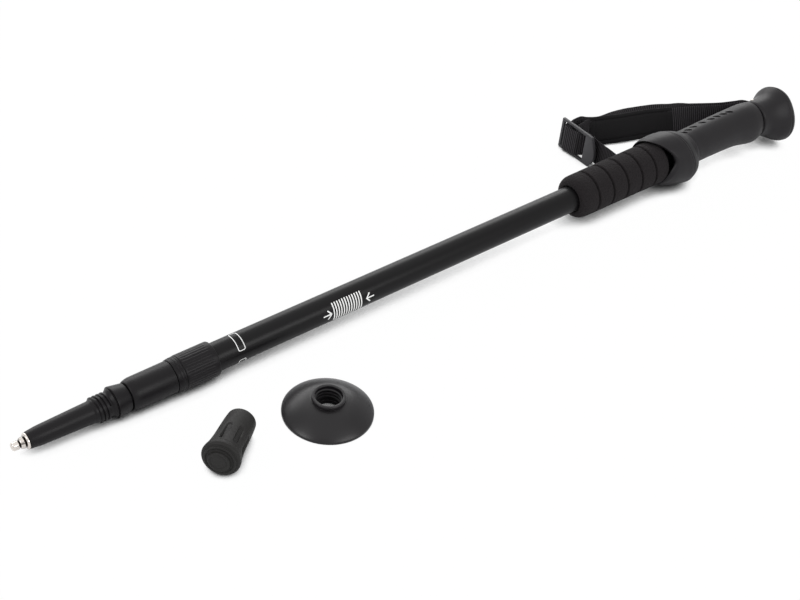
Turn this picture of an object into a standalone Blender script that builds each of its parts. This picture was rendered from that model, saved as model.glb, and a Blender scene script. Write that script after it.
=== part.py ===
"""Three-section telescopic walking pole with twist locks and an anti-shock spring,
pushed together and lying on a floor, with its rubber tip cap and its mud basket.

Metres, +Z up. The pole lies along +X with its tip at the low end. Places along it are
distances from the end of the steel tip on the pole's own axis. The handle has its own
frame on that axis, with the palm side at +Y and the finger side at -Y. The floor frame
has its X axis on the floor, straight below the pole's axis.
"""
import math

import bmesh
import bpy
from mathutils import Matrix, Vector

MM = 0.001

# Fits
TOUCH = 0.0003          # gap between pieces that touch
RUNNING = 0.0002        # gap round a piece that slides or turns

# Tubes
UPPER_TUBE_D = 0.018
MIDDLE_TUBE_D = 0.016
LOWER_TUBE_D = 0.014
TUBE_WALL = 0.0008
UPPER_TUBE_LENGTH = 0.4903

# Steel tip, with its sections in millimetres: distance from the end and radius
TIP_SECTIONS = [
    (0.0, 1.5),
    (0.6, 2.1),
    (5.2, 2.3),
    (9.0, 3.9),
    (9.6, 4.9),
    (10.8, 4.9),
]
TIP_SHANK_R = 0.0023
TIP_SHANK_LENGTH = 0.0132

# Tip holder
HOLDER_NOSE_R = 0.0050
HOLDER_CHAMFER = 0.0004
HOLDER_KNEE_R = 0.0058
HOLDER_KNEE = 0.0055
HOLDER_CONE_R = 0.0067
HOLDER_CONE_LENGTH = 0.0390
THREAD_CORE_R = 0.0072
THREAD_LENGTH = 0.0100
FLANGE_R = 0.0097
FLANGE_RISE = 0.0024
FLANGE_BACK_R = 0.0083
FLANGE_LENGTH = 0.0104
TUBE_SOCKET_DEPTH = 0.0090
SPIGOT_LENGTH = 0.0130

# Collars
COLLAR_GAP = 0.0008     # between neighbours when the pole is pushed together
COLLAR_LIP = 0.0045     # solid end that the thinner tube slides through
COLLAR_EDGE = 0.0008
LOWER_COLLAR_LENGTH = 0.0307
LOWER_COLLAR_R = 0.0100
LOWER_COLLAR_NOSE_R = 0.0088
LOWER_COLLAR_NOSE = 0.0050
LOWER_COLLAR_SHOULDER_R = 0.0096
UPPER_COLLAR_LENGTH = 0.0267
UPPER_COLLAR_R = 0.0110
UPPER_COLLAR_RING_R = 0.0103
UPPER_COLLAR_RING = 0.0042
UPPER_COLLAR_SEAT = 0.0067   # where the tube's seat starts
RING_WALL = 0.0006      # of the wiper ring's neck
RING_BEAD = 0.0008      # the bead on that neck, which snaps in behind the collar's lip
RING_LIP = 0.0010
RING_BEAD_LENGTH = 0.0009
FLUTES = 24
FLUTE_DEPTH = 0.00035
FLUTE_END = 0.0030      # plain band past the flutes

# Twist lock
SLEEVE_LENGTH = 0.0260
SLEEVE_BASE = 0.0050    # ring at the sleeve's foot that stays whole
SLEEVE_WALL = 0.0012    # at the mouth
SLEEVE_TAPER = 0.11     # rise of the tapered bore
TAPER_LENGTH = 0.0145
SLIT_WIDTH = 0.0016
SLIT_FLOOR = 0.0080
CONE_LENGTH = 0.0120
CONE_TRAVEL = 0.0020
LOCKED_GAP = 0.0001
KEY_HEIGHT = 0.0008
SCREW_R = 0.0025
SHOULDER_R = 0.0038
SHOULDER_THICKNESS = 0.0015
END_NUT_R = 0.0056
END_NUT_THICKNESS = 0.0040
SCREW_END = 0.0008      # screw that stands out past its nut
PLUG_LENGTH = 0.0180
PLUG_FLANGE = 0.0030
PLUG_BORE_DEPTH = 0.0120

# Anti-shock unit
SHOCK_TRAVEL = 0.0120
SPRING_LENGTH = 0.0360
SPRING_TURNS = 9
SPRING_WIRE_R = 0.0008
SPRING_COIL_R = 0.0050
SEAT_THICKNESS = 0.0030
STOP_NUT_R = 0.0046
STOP_NUT_THICKNESS = 0.0040
LOWER_HEADROOM = 0.0030
UPPER_HEADROOM = 0.0020

# Foam sleeve
FOAM_LENGTH = 0.0870
FOAM_IN_CUP = 0.0053
FOAM_R = 0.0156
FOAM_END_R = 0.0104
FOAM_EDGE = 0.0080
FOAM_TAPER = 0.0004
FOAM_GROOVE = 0.0012
FOAM_GROOVE_DEPTH = 0.0009
FOAM_GROOVES = 5
FOAM_GROOVE_PITCH = 0.0138
FOAM_FIRST_GROOVE = 0.0178

# Handle
HANDLE_ROLL = 41.7      # degrees by which the palm side is turned up from level
CUP_DEPTH = 0.0138
CUP_CLEARANCE = 0.0006
SCALLOP_R = 0.0110
SCALLOP_BEFORE_LIP = 0.0028
SCALLOP_TO_FINGERS = 0.0025
HEAD_SPIGOT_R = 0.0090
HEAD_SPIGOT_LENGTH = 0.0062
HEAD_GAP = 0.0005
DIMPLE_LENGTH = 0.0052
DIMPLE_WIDTH = 0.0016
DIMPLE_DEPTH = 0.0006
DIMPLE_SLANT = 37.0     # degrees from the pole's direction
# The dimples on each side: millimetres from the lip and degrees from the palm line
DIMPLES = [
    (35.4, 39.0),
    (40.8, 39.0),
    (46.5, 34.0),
    (55.5, 31.5),
    (63.9, 33.0),
    (70.1, 33.0),
    (76.4, 36.0),
    (82.2, 39.0),
]
# Sections of the handle in millimetres: distance from the lip, half heights on the palm
# and finger sides, half width, and how far the section leans
GRIP_SECTIONS = [
    (0.0, 16.9, 17.0, 17.0, 0.20),
    (1.8, 17.8, 18.2, 18.0, 0.20),
    (5.8, 18.6, 19.8, 19.0, 0.20),
    (10.8, 19.0, 21.0, 19.8, 0.20),
    (15.3, 18.9, 21.9, 20.1, 0.20),
    (19.8, 18.3, 22.6, 20.3, 0.20),
    (25.8, 16.8, 21.2, 18.9, 0.20),
    (29.8, 15.3, 18.8, 16.7, 0.20),
    (32.8, 13.8, 15.6, 14.4, 0.20),
    (36.8, 13.2, 13.4, 13.2, 0.18),
    (47.8, 13.4, 13.0, 13.2, 0.10),
    (57.8, 13.6, 13.0, 13.2, 0.00),
    (71.8, 13.9, 13.2, 13.3, 0.00),
    (81.8, 14.0, 13.7, 13.5, 0.00),
    (89.8, 14.0, 15.0, 13.9, 0.00),
    (95.8, 14.0, 16.05, 14.3, 0.00),
    (99.8, 13.8, 16.3, 14.4, 0.00),
    (103.8, 13.4, 15.6, 14.0, -0.05),
    (106.8, 12.7, 14.6, 13.2, -0.05),
    (107.8, 11.8, 13.6, 12.3, -0.05),
]
# The same for the head, from its front face
HEAD_SECTIONS = [
    (0.0, 11.8, 13.4, 12.4, -0.05),
    (0.9, 12.5, 14.3, 13.3, -0.07),
    (4.5, 12.4, 14.8, 13.6, -0.12),
    (8.5, 12.4, 15.9, 14.2, -0.15),
    (12.5, 12.9, 18.3, 15.2, -0.15),
    (15.5, 13.8, 20.4, 16.4, -0.12),
    (19.0, 15.7, 23.0, 18.1, -0.08),
    (22.5, 17.2, 24.7, 19.2, -0.04),
    (24.3, 17.0, 24.6, 19.0, 0.00),
    (26.6, 15.8, 23.0, 17.6, 0.00),
    (28.2, 13.0, 19.6, 14.8, 0.00),
]
HEAD_DOME = 0.0006

# Strap
WEBBING_WIDTH = 0.0195
WEBBING_THICKNESS = 0.0011
PAD_WIDTH = 0.0212
PAD_THICKNESS = 0.0032
PAD_WALL = 0.0006
STRAP_PIN_R = 0.00125
STRAP_TURN = -60.0      # degrees from the palm side to the side where the strap leaves
STRAP_PIN_DEPTH = 0.0030   # from the pole's axis towards the pocket's mouth
STRAP_PIN_FROM_FACE = 0.0048
STRAP_SINK = 0.0012     # how far inside the pocket the first leg starts its turn
POCKET_CLEARANCE = 0.0004
BUCKLE_FROM_PIN = -0.1311   # along the pole
BUCKLE_ENDS = (0.0415, 0.0725)
BUCKLE_RAIL = 0.0018
BUCKLE_BAR = 0.0022
BUCKLE_THICKNESS = 0.0018
BUCKLE_BARS = (0.0550, 0.0645)
BUCKLE_TAB = 0.0060
FLOOR_GAP = 0.0003
# The strap's route in millimetres: its centre, along the pole from the pin, across and
# up from the floor, and the direction of its width
PADDED_LEG = [
    ((-118.9, 62.6, 11.9), (0.0, 0.12, 1.0)),
    ((-111.4, 62.6, 10.9), (0.0, 0.35, 0.94)),
    ((-100.4, 60.2, 9.9), (0.0, 0.58, 0.82)),
    ((-84.9, 55.3, 9.7), (0.0, 0.643, 0.766)),
    ((-63.4, 49.6, 9.7), (0.0, 0.643, 0.766)),
    ((-46.4, 40.3, 11.6), (0.0, 0.55, 0.835)),
    ((-30.4, 30.8, 14.2), (0.0, 0.35, 0.937)),
    ((-20.4, 25.0, 15.3), (0.0, 0.2, 0.98)),
    ((-12.4, 20.4, 16.0), (0.0, 0.17, 0.985)),
    ((-6.1, 16.6, 17.2), (0.0, 0.27, 0.963)),
]
PAD_FROM = 1            # stations of that leg that the pad covers
PAD_TO = 5
PLAIN_LEG = [
    ((-2.4, 18.0, 17.2), (0.0, 0.25, 0.968)),
    ((-10.4, 25.3, 14.4), (0.0, 0.2, 0.98)),
    ((-19.7, 34.5, 11.2), (0.0, 0.38, 0.925)),
    ((-31.4, 45.4, 7.9), (0.0, 0.68, 0.733)),
    ((-40.3, 51.6, 6.7), (0.0, 0.8, 0.6)),
    ((-51.8, 59.7, 5.5), (0.0, 0.88, 0.47)),
    ((-62.7, 64.8, 5.2), (0.0, 0.906, 0.42)),
    ((-75.4, 67.0, 5.2), (0.0, 0.906, 0.42)),
    ((-90.6, 66.9, 5.6), (0.0, 0.88, 0.47)),
    ((-105.4, 68.3, 7.8), (0.0, 0.72, 0.69)),
    ((-116.4, 69.5, 10.8), (0.0, 0.3, 0.95)),
    ((-123.4, 69.7, 12.2), (0.0, 0.0, 1.0)),
]
LOOSE_END = [
    ((-125.6, 46.0, 11.2), (0.0, 0.0, 1.0)),
    ((-125.1, 38.0, 10.3), (0.0, 0.0, 1.0)),
    ((-125.3, 28.0, 10.3), (0.0, 0.0, 1.0)),
    ((-125.8, 18.6, 10.3), (0.0, 0.0, 1.0)),
]
# At the buckle: places from a bar's centre in millimetres and angles round it in degrees
SEWN_START = (4.5, 2.4)
SEWN_TURN = (75, 110, 145, 180, 215, 250, 285)
SEWN_END = (5.0, -2.7)
LACED_FAR_BAR = (65, 100, 140, 180)
LACED_NEAR_BAR = (180, 215, 250, 285)
LACED_END = (3.8, -5.0)
ROUTE_STEPS = 2
BAND_STRIPS = 3

# Rubber cap: places along it are measured from the rim of its foot
CAP_LENGTH = 0.0358
CAP_FOOT_R = 0.0117
CAP_FOOT_BAND = 0.0032
CAP_BODY_R = 0.0105
CAP_NECK_R = 0.0092
CAP_NECK = 0.0290
CAP_MOUTH_R = 0.0087
CAP_SOCKET_DEPTH = 0.0320
CAP_SOCKET_CLEARANCE = 0.0001
CAP_SLOTS = 8
CAP_SLOT_WIDTH = 0.0024
CAP_SLOT_DEPTH = 0.0011
CAP_SLOT_FADE = 0.75    # share of its depth that a slot loses along its length
CAP_SLOT_LENGTH = 0.0165
CAP_SPOT = (0.0893, -0.0721)
CAP_HEADING = 37.3      # degrees from the pole's direction
# Its tread in millimetres: distance in front of that rim and radius
CAP_TREAD = [
    (3.6, 6.5),
    (2.5, 6.5),
    (2.0, 9.5),
    (1.0, 9.5),
]

# Mud basket
BASKET_R = 0.0273
BASKET_HEIGHT = 0.0120
BASKET_RIM = 0.0018
BASKET_SHELL = 0.0016
BASKET_DOME = 1.9       # 1 would be a straight cone, more is a fuller dome
BASKET_COLLAR_R = 0.0090
BASKET_COLLAR_HEIGHT = 0.0022
BASKET_BORE_CLEARANCE = 0.0004
BASKET_HUB_FOOT = 0.0025
BASKET_SPOT = (0.1685, -0.0645)

# Facets
SIDES = 32
BOLT_SIDES = 18
SKIN_SIDES = 32
WIRE_SIDES = 5
COIL_SIDES = 12
EDGE_STEPS = 4          # in a quarter turn of a rounded edge
BOW_STEPS = 8
DOME_STEPS = 6
SHARP_ANGLE = 35.0      # degrees between faces that are shaded as an edge
CUT_PAST = 0.02         # how far a cutter runs past the piece

# Places along the pole
tip_length = TIP_SECTIONS[-1][0] * MM
holder_nose = tip_length + TOUCH
thread_start = holder_nose + HOLDER_CONE_LENGTH
flange_start = thread_start + THREAD_LENGTH
holder_end = flange_start + FLANGE_LENGTH
lower_tube_start = holder_end - TUBE_SOCKET_DEPTH + TOUCH
lower_collar_start = holder_end + COLLAR_GAP
lower_collar_end = lower_collar_start + LOWER_COLLAR_LENGTH
middle_tube_start = lower_collar_start + COLLAR_LIP + TOUCH
upper_collar_start = lower_collar_end + COLLAR_GAP
upper_tube_start = upper_collar_start + UPPER_COLLAR_SEAT + TOUCH
upper_tube_end = upper_tube_start + UPPER_TUBE_LENGTH
middle_lock_foot = (upper_tube_end - UPPER_HEADROOM - SCREW_END - END_NUT_THICKNESS
                    - TOUCH - SLEEVE_LENGTH)
seat_start = middle_lock_foot - TOUCH - SEAT_THICKNESS
spring_start = seat_start - TOUCH - SPRING_LENGTH
guide_end = spring_start - TOUCH
middle_tube_end = guide_end - PLUG_FLANGE - TOUCH
guide_start = middle_tube_end - PLUG_LENGTH
stop_nut_start = guide_start - TOUCH - STOP_NUT_THICKNESS
rod_start = stop_nut_start - SCREW_END
lower_lock_foot = (rod_start - SHOCK_TRAVEL - LOWER_HEADROOM - SCREW_END
                   - END_NUT_THICKNESS - TOUCH - SLEEVE_LENGTH)
plug_end = lower_lock_foot - TOUCH
lower_tube_end = plug_end - PLUG_FLANGE - TOUCH
head_front = upper_tube_end + TOUCH + HEAD_SPIGOT_LENGTH
grip_length = GRIP_SECTIONS[-1][0] * MM
grip_lip = head_front - HEAD_GAP - grip_length
foam_end = grip_lip + FOAM_IN_CUP
foam_start = foam_end - FOAM_LENGTH
strap_pin_x = head_front + STRAP_PIN_FROM_FACE
buckle_x = strap_pin_x + BUCKLE_FROM_PIN
pocket_mouth = HEAD_SECTIONS[2][3] * MM

# Radii that follow from the tubes
upper_tube_r = UPPER_TUBE_D / 2
middle_tube_r = MIDDLE_TUBE_D / 2
lower_tube_r = LOWER_TUBE_D / 2
upper_bore_r = upper_tube_r - TUBE_WALL
middle_bore_r = middle_tube_r - TUBE_WALL
lower_bore_r = lower_tube_r - TUBE_WALL


def clear_scene():
    for old in list(bpy.data.objects):
        bpy.data.objects.remove(old, do_unlink=True)


def linear(channel):
    """One sRGB channel, 0 to 1, as scene-linear light."""
    if channel <= 0.04045:
        return channel / 12.92
    return ((channel + 0.055) / 1.055) ** 2.4


def material(name, colour, roughness, metallic=0.0):
    """A plain material in the colour of an sRGB hex string."""
    found = bpy.data.materials.get(name)
    if found:
        return found
    made = bpy.data.materials.new(name)
    made.use_nodes = True
    shader = made.node_tree.nodes["Principled BSDF"]
    channels = [linear(int(colour[i:i + 2], 16) / 255) for i in (0, 2, 4)]
    shader.inputs["Base Color"].default_value = (*channels, 1.0)
    shader.inputs["Roughness"].default_value = roughness
    shader.inputs["Metallic"].default_value = metallic
    return made


def black_tube():
    return material("anodised_tube", "1A1A1C", 0.35, 0.9)


def black_plastic():
    return material("black_plastic", "1B1B1D", 0.45)


def nylon():
    return material("lock_nylon", "2A2B2E", 0.5)


def steel():
    return material("steel", "B9BBBE", 0.25, 1.0)


def brass():
    return material("brass", "B08D4A", 0.3, 1.0)


def foam():
    return material("foam", "2B2A2B", 0.95)


def grip_rubber():
    return material("grip_rubber", "3A383B", 0.55)


def webbing():
    return material("webbing", "1E1D1E", 0.9)


def pad_fabric():
    return material("pad_fabric", "29282A", 0.9)


def buckle_plastic():
    return material("buckle_plastic", "4A4A4C", 0.4)


def cap_rubber():
    return material("cap_rubber", "2C2D2F", 0.7)


def frame(name, parent=None, at=(0.0, 0.0, 0.0), turn=(0.0, 0.0, 0.0)):
    """An empty that carries other pieces."""
    empty = bpy.data.objects.new(name, None)
    empty.location = at
    empty.rotation_euler = turn
    empty.parent = parent
    bpy.context.scene.collection.objects.link(empty)
    return empty


def add_piece(name, bm, parent, finish=None, at=(0.0, 0.0, 0.0)):
    """Make an object of a bmesh built in its parent's frame, with its origin at a point."""
    bmesh.ops.recalc_face_normals(bm, faces=bm.faces)
    bmesh.ops.translate(bm, verts=bm.verts, vec=-Vector(at))
    mesh = bpy.data.meshes.new(name)
    bm.to_mesh(mesh)
    bm.free()
    mesh.shade_smooth()
    mesh.set_sharp_from_angle(angle=math.radians(SHARP_ANGLE))
    if finish:
        mesh.materials.append(finish)
    piece = bpy.data.objects.new(name, mesh)
    piece.location = at
    piece.parent = parent
    bpy.context.scene.collection.objects.link(piece)
    return piece


def boolean(piece, tool, operation="DIFFERENCE"):
    """Cut or join with a hidden tool object."""
    step = piece.modifiers.new(tool.name, "BOOLEAN")
    step.operation = operation
    step.solver = "EXACT"
    step.object = tool
    tool.hide_render = True
    tool.display_type = "WIRE"


def bridge(bm, first, second):
    """Faces between two rings of as many vertices, or between a ring and one vertex."""
    count = max(len(first), len(second))
    for i in range(count):
        j = (i + 1) % count
        if len(first) == 1:
            bm.faces.new((first[0], second[j], second[i]))
        elif len(second) == 1:
            bm.faces.new((first[i], first[j], second[0]))
        else:
            bm.faces.new((first[i], first[j], second[j], second[i]))


def skin(rings, closed=False):
    """A bmesh through rings of points; an open run is capped unless it ends in one point."""
    bm = bmesh.new()
    made = [[bm.verts.new(point) for point in ring] for ring in rings]
    for first, second in zip(made, made[1:]):
        bridge(bm, first, second)
    if closed:
        bridge(bm, made[-1], made[0])
    else:
        for end in (made[0], made[-1]):
            if len(end) > 1:
                bm.faces.new(end)
    return bm


def circle(x, radius, sides, ripple=0.0):
    """A ring round the X axis; a ripple sinks every other point."""
    if radius == 0.0:
        return [Vector((x, 0.0, 0.0))]
    ring = []
    for i in range(sides):
        angle = 2 * math.pi * i / sides
        reach = radius - ripple * (i % 2)
        ring.append(Vector((x, reach * math.cos(angle), reach * math.sin(angle))))
    return ring


def turned(profile, sides=SIDES, closed=False):
    """Revolve (x, radius) points round the X axis; closed joins the last to the first."""
    return skin([circle(x, radius, sides) for x, radius in profile], closed)


def block(low, high):
    """A box between two corners."""
    bm = bmesh.new()
    bmesh.ops.create_cube(bm, size=1.0)
    size = [high[i] - low[i] for i in range(3)]
    middle = [(high[i] + low[i]) / 2 for i in range(3)]
    bmesh.ops.scale(bm, verts=bm.verts, vec=size)
    bmesh.ops.translate(bm, verts=bm.verts, vec=middle)
    return bm


def rod_along_z(centre, radius, low, high, sides):
    """A round bar along Z."""
    bm = bmesh.new()
    bmesh.ops.create_cone(bm, cap_ends=True, segments=sides, radius1=radius, radius2=radius,
                          depth=high - low)
    bmesh.ops.translate(bm, verts=bm.verts, vec=(centre[0], centre[1], (low + high) / 2))
    return bm


def smooth_values(rows, steps):
    """Rows of numbers with further rows between them, on a curve through them all."""
    ends = [[2 * a - b for a, b in zip(rows[0], rows[1])]]
    ends += [list(row) for row in rows]
    ends.append([2 * a - b for a, b in zip(rows[-1], rows[-2])])
    made = []
    for k in range(1, len(ends) - 2):
        p0, p1, p2, p3 = ends[k - 1:k + 3]
        for step in range(steps):
            t = step / steps
            made.append([0.5 * (2 * b + (c - a) * t + (2 * a - 5 * b + 4 * c - d) * t ** 2
                                + (3 * b - a - 3 * c + d) * t ** 3)
                         for a, b, c, d in zip(p0, p1, p2, p3)])
    made.append(list(rows[-1]))
    return made


def tip_pin(pole):
    """The steel tip: a blunt point, a cone with a ring, and the shank in its holder."""
    shank_end = tip_length + TIP_SHANK_LENGTH
    profile = [(0.0, 0.0)]
    profile += [(x * MM, radius * MM) for x, radius in TIP_SECTIONS]
    profile += [(tip_length, TIP_SHANK_R), (shank_end, TIP_SHANK_R), (shank_end, 0.0)]
    return add_piece("tip_pin", turned(profile, BOLT_SIDES), pole, steel())


def tip_holder(pole):
    """The tapered holder: a bore for the tip, the basket's thread, a flange, a tube socket."""
    bore_r = TIP_SHANK_R + TOUCH
    bore_end = tip_length + TIP_SHANK_LENGTH + TOUCH
    socket_floor = holder_end - TUBE_SOCKET_DEPTH
    profile = [
        (bore_end, 0.0),
        (bore_end, bore_r),
        (holder_nose, bore_r),
        (holder_nose, HOLDER_NOSE_R - HOLDER_CHAMFER),
        (holder_nose + HOLDER_CHAMFER, HOLDER_NOSE_R),
        (holder_nose + HOLDER_KNEE, HOLDER_KNEE_R),
        (thread_start - HOLDER_CHAMFER, HOLDER_CONE_R),
        (thread_start, THREAD_CORE_R),
        (flange_start, THREAD_CORE_R),
        (flange_start + FLANGE_RISE, FLANGE_R),
        (holder_end - HOLDER_CHAMFER, FLANGE_BACK_R),
        (holder_end, FLANGE_BACK_R - HOLDER_CHAMFER),
        (holder_end, lower_tube_r + RUNNING),
        (socket_floor, lower_tube_r + RUNNING),
        (socket_floor, lower_bore_r - RUNNING),
        (holder_end + SPIGOT_LENGTH, lower_bore_r - RUNNING),
        (holder_end + SPIGOT_LENGTH, 0.0),
    ]
    return add_piece("tip_holder", turned(profile), pole, black_plastic())


def tube(name, pole, start, end, radius):
    """A plain thin-walled tube."""
    profile = [
        (start, radius),
        (end, radius),
        (end, radius - TUBE_WALL),
        (start, radius - TUBE_WALL),
    ]
    return add_piece(name, turned(profile, closed=True), pole, black_tube())


def lower_collar(pole):
    """The smooth collar on the middle tube's end, with a shouldered nose."""
    start = lower_collar_start
    seat = start + COLLAR_LIP
    profile = [
        (start, lower_tube_r + RUNNING),
        (start, LOWER_COLLAR_NOSE_R - COLLAR_EDGE),
        (start + COLLAR_EDGE, LOWER_COLLAR_NOSE_R),
        (start + LOWER_COLLAR_NOSE / 2, LOWER_COLLAR_SHOULDER_R),
        (start + LOWER_COLLAR_NOSE, LOWER_COLLAR_R),
        (lower_collar_end - COLLAR_EDGE, LOWER_COLLAR_R),
        (lower_collar_end, LOWER_COLLAR_R - COLLAR_EDGE),
        (lower_collar_end, middle_tube_r + TOUCH),
        (seat, middle_tube_r + TOUCH),
        (seat, lower_tube_r + RUNNING),
    ]
    return add_piece("lower_collar", turned(profile, closed=True), pole, black_plastic())


def upper_collar(pole):
    """The ribbed collar: a lip for its wiper ring, flutes, and the upper tube's seat."""
    start = upper_collar_start + UPPER_COLLAR_RING
    end = upper_collar_start + UPPER_COLLAR_LENGTH
    seat = upper_collar_start + UPPER_COLLAR_SEAT
    neck_r = middle_tube_r + RUNNING + RING_WALL
    plain = [
        (start, neck_r + TOUCH, 0.0),
        (start, UPPER_COLLAR_RING_R, 0.0),
        (start + COLLAR_EDGE, UPPER_COLLAR_R, 0.0),
        (start + 2 * COLLAR_EDGE, UPPER_COLLAR_R, FLUTE_DEPTH),
        (end - FLUTE_END - COLLAR_EDGE, UPPER_COLLAR_R, FLUTE_DEPTH),
        (end - FLUTE_END, UPPER_COLLAR_R, 0.0),
        (end - COLLAR_EDGE, UPPER_COLLAR_R, 0.0),
        (end, UPPER_COLLAR_R - COLLAR_EDGE, 0.0),
        (end, upper_tube_r + TOUCH, 0.0),
        (seat, upper_tube_r + TOUCH, 0.0),
        (seat, neck_r + RING_BEAD + TOUCH, 0.0),
        (start + RING_LIP, neck_r + RING_BEAD + TOUCH, 0.0),
        (start + RING_LIP, neck_r + TOUCH, 0.0),
    ]
    rings = [circle(x, radius, 2 * FLUTES, ripple) for x, radius, ripple in plain]
    return add_piece("upper_collar", skin(rings, closed=True), pole, black_plastic())


def collar_ring(pole):
    """The wiper ring in the collar's mouth, which turns with the middle tube."""
    start = upper_collar_start
    face = start + UPPER_COLLAR_RING - TOUCH
    bead = start + UPPER_COLLAR_RING + RING_LIP + TOUCH
    bore_r = middle_tube_r + RUNNING
    neck_r = bore_r + RING_WALL
    profile = [
        (start, bore_r),
        (start, UPPER_COLLAR_RING_R - COLLAR_EDGE),
        (start + COLLAR_EDGE, UPPER_COLLAR_RING_R),
        (face, UPPER_COLLAR_RING_R),
        (face, neck_r),
        (bead, neck_r),
        (bead, neck_r + RING_BEAD),
        (bead + RING_BEAD_LENGTH, neck_r + RING_BEAD),
        (bead + RING_BEAD_LENGTH, bore_r),
    ]
    ring = turned(profile, closed=True)
    return add_piece("collar_ring", ring, pole, black_plastic(), (start, 0.0, 0.0))


def lock_sleeve(name, pole, foot, tube_bore):
    """The split sleeve that grips the outer tube when its cone is drawn in."""
    outer = tube_bore - RUNNING
    mouth = foot + SLEEVE_LENGTH
    mouth_r = outer - SLEEVE_WALL
    throat_r = mouth_r - SLEEVE_TAPER * TAPER_LENGTH
    profile = [
        (foot, SCREW_R + RUNNING),
        (foot, outer - COLLAR_EDGE),
        (foot + COLLAR_EDGE, outer),
        (mouth, outer),
        (mouth, mouth_r),
        (mouth - TAPER_LENGTH, throat_r),
        (foot + SLEEVE_BASE, throat_r),
        (foot + SLEEVE_BASE, SCREW_R + RUNNING),
    ]
    sleeve = add_piece(name, turned(profile, closed=True), pole, nylon(), (foot, 0.0, 0.0))
    reach = outer + SLIT_WIDTH
    for axis in (1, 2):
        low = [foot + SLIT_FLOOR, -SLIT_WIDTH / 2, -SLIT_WIDTH / 2]
        high = [mouth + SLIT_WIDTH, SLIT_WIDTH / 2, SLIT_WIDTH / 2]
        low[axis] = -reach
        high[axis] = reach
        slit = add_piece(f"{name}_slit_{axis}", block(low, high), pole)
        boolean(sleeve, slit)
    return sleeve


def lock_cone(name, pole, foot, tube_bore):
    """The threaded cone, kept from turning by keys in the sleeve's slits."""
    mouth = foot + SLEEVE_LENGTH
    wide = tube_bore - RUNNING - SLEEVE_WALL - LOCKED_GAP - SLEEVE_TAPER * CONE_TRAVEL
    narrow = wide - SLEEVE_TAPER * CONE_LENGTH
    start = mouth - CONE_LENGTH
    body = [(start, 0.0), (start, narrow), (mouth, wide), (mouth, 0.0)]
    cone = add_piece(name, turned(body), pole, brass(), (mouth, 0.0, 0.0))
    half_key = SLIT_WIDTH / 2 - TOUCH
    for axis in (1, 2):
        low = [start + COLLAR_EDGE, -half_key, -half_key]
        high = [mouth - COLLAR_EDGE, half_key, half_key]
        low[axis] = -narrow - KEY_HEIGHT
        high[axis] = narrow + KEY_HEIGHT
        key = add_piece(f"{name}_key_{axis}", block(low, high), pole)
        boolean(cone, key, "UNION")
    reach = COLLAR_EDGE
    hole = [
        (start - reach, 0.0),
        (start - reach, SCREW_R + RUNNING),
        (mouth + reach, SCREW_R + RUNNING),
        (mouth + reach, 0.0),
    ]
    boolean(cone, add_piece(f"{name}_bore", turned(hole, BOLT_SIDES), pole))
    return cone


def hexagon(x, across_corners_r):
    """A hexagonal ring with points between its corners, to bridge to a round bore."""
    ring = circle(x, across_corners_r, BOLT_SIDES)
    for point in ring:
        from_flat = math.atan2(point.z, point.y) % math.radians(60) - math.radians(30)
        reach = across_corners_r * math.cos(math.radians(30)) / math.cos(from_flat)
        point.y *= reach / across_corners_r
        point.z *= reach / across_corners_r
    return ring


def nut(name, pole, start, thickness, radius, finish):
    """A hexagonal nut with a plain bore."""
    end = start + thickness
    bore_r = SCREW_R + TOUCH
    rings = [
        hexagon(start, radius),
        hexagon(end, radius),
        circle(end, bore_r, BOLT_SIDES),
        circle(start, bore_r, BOLT_SIDES),
    ]
    return add_piece(name, skin(rings, closed=True), pole, finish)


def lock_screw(name, pole, start, foot):
    """The lock's screw with the shoulder that holds the sleeve's foot."""
    end = foot + SLEEVE_LENGTH + TOUCH + END_NUT_THICKNESS + SCREW_END
    shoulder = foot + SLEEVE_BASE + TOUCH
    profile = [
        (start, 0.0),
        (start, SCREW_R),
        (shoulder, SCREW_R),
        (shoulder, SHOULDER_R),
        (shoulder + SHOULDER_THICKNESS, SHOULDER_R),
        (shoulder + SHOULDER_THICKNESS, SCREW_R),
        (end, SCREW_R),
        (end, 0.0),
    ]
    return add_piece(name, turned(profile, BOLT_SIDES), pole, steel(), (start, 0.0, 0.0))


def lower_plug(pole):
    """The plug in the lower tube's end that holds the lock's screw."""
    start = lower_tube_end - PLUG_LENGTH
    flange_r = middle_bore_r - 2 * RUNNING
    bore_r = SCREW_R + TOUCH
    profile = [
        (start, 0.0),
        (start, lower_bore_r - RUNNING),
        (lower_tube_end + TOUCH, lower_bore_r - RUNNING),
        (lower_tube_end + TOUCH, flange_r),
        (plug_end, flange_r),
        (plug_end, bore_r),
        (plug_end - PLUG_BORE_DEPTH, bore_r),
        (plug_end - PLUG_BORE_DEPTH, 0.0),
    ]
    return add_piece("lower_plug", turned(profile), pole, nylon())


def shock_guide(pole):
    """The plug in the middle tube's end that the rod slides in."""
    flange_r = upper_bore_r - 2 * RUNNING
    profile = [
        (guide_start, SCREW_R + RUNNING),
        (guide_start, middle_bore_r - RUNNING),
        (middle_tube_end + TOUCH, middle_bore_r - RUNNING),
        (middle_tube_end + TOUCH, flange_r),
        (guide_end, flange_r),
        (guide_end, SCREW_R + RUNNING),
    ]
    return add_piece("shock_guide", turned(profile, closed=True), pole, nylon())


def shock_seat(pole):
    """The washer on the rod that the spring pushes against."""
    radius = upper_bore_r - 2 * RUNNING
    profile = [
        (seat_start, SCREW_R + TOUCH),
        (seat_start, radius),
        (seat_start + SEAT_THICKNESS, radius),
        (seat_start + SEAT_THICKNESS, SCREW_R + TOUCH),
    ]
    return add_piece("shock_seat", turned(profile, closed=True), pole, nylon())


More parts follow.
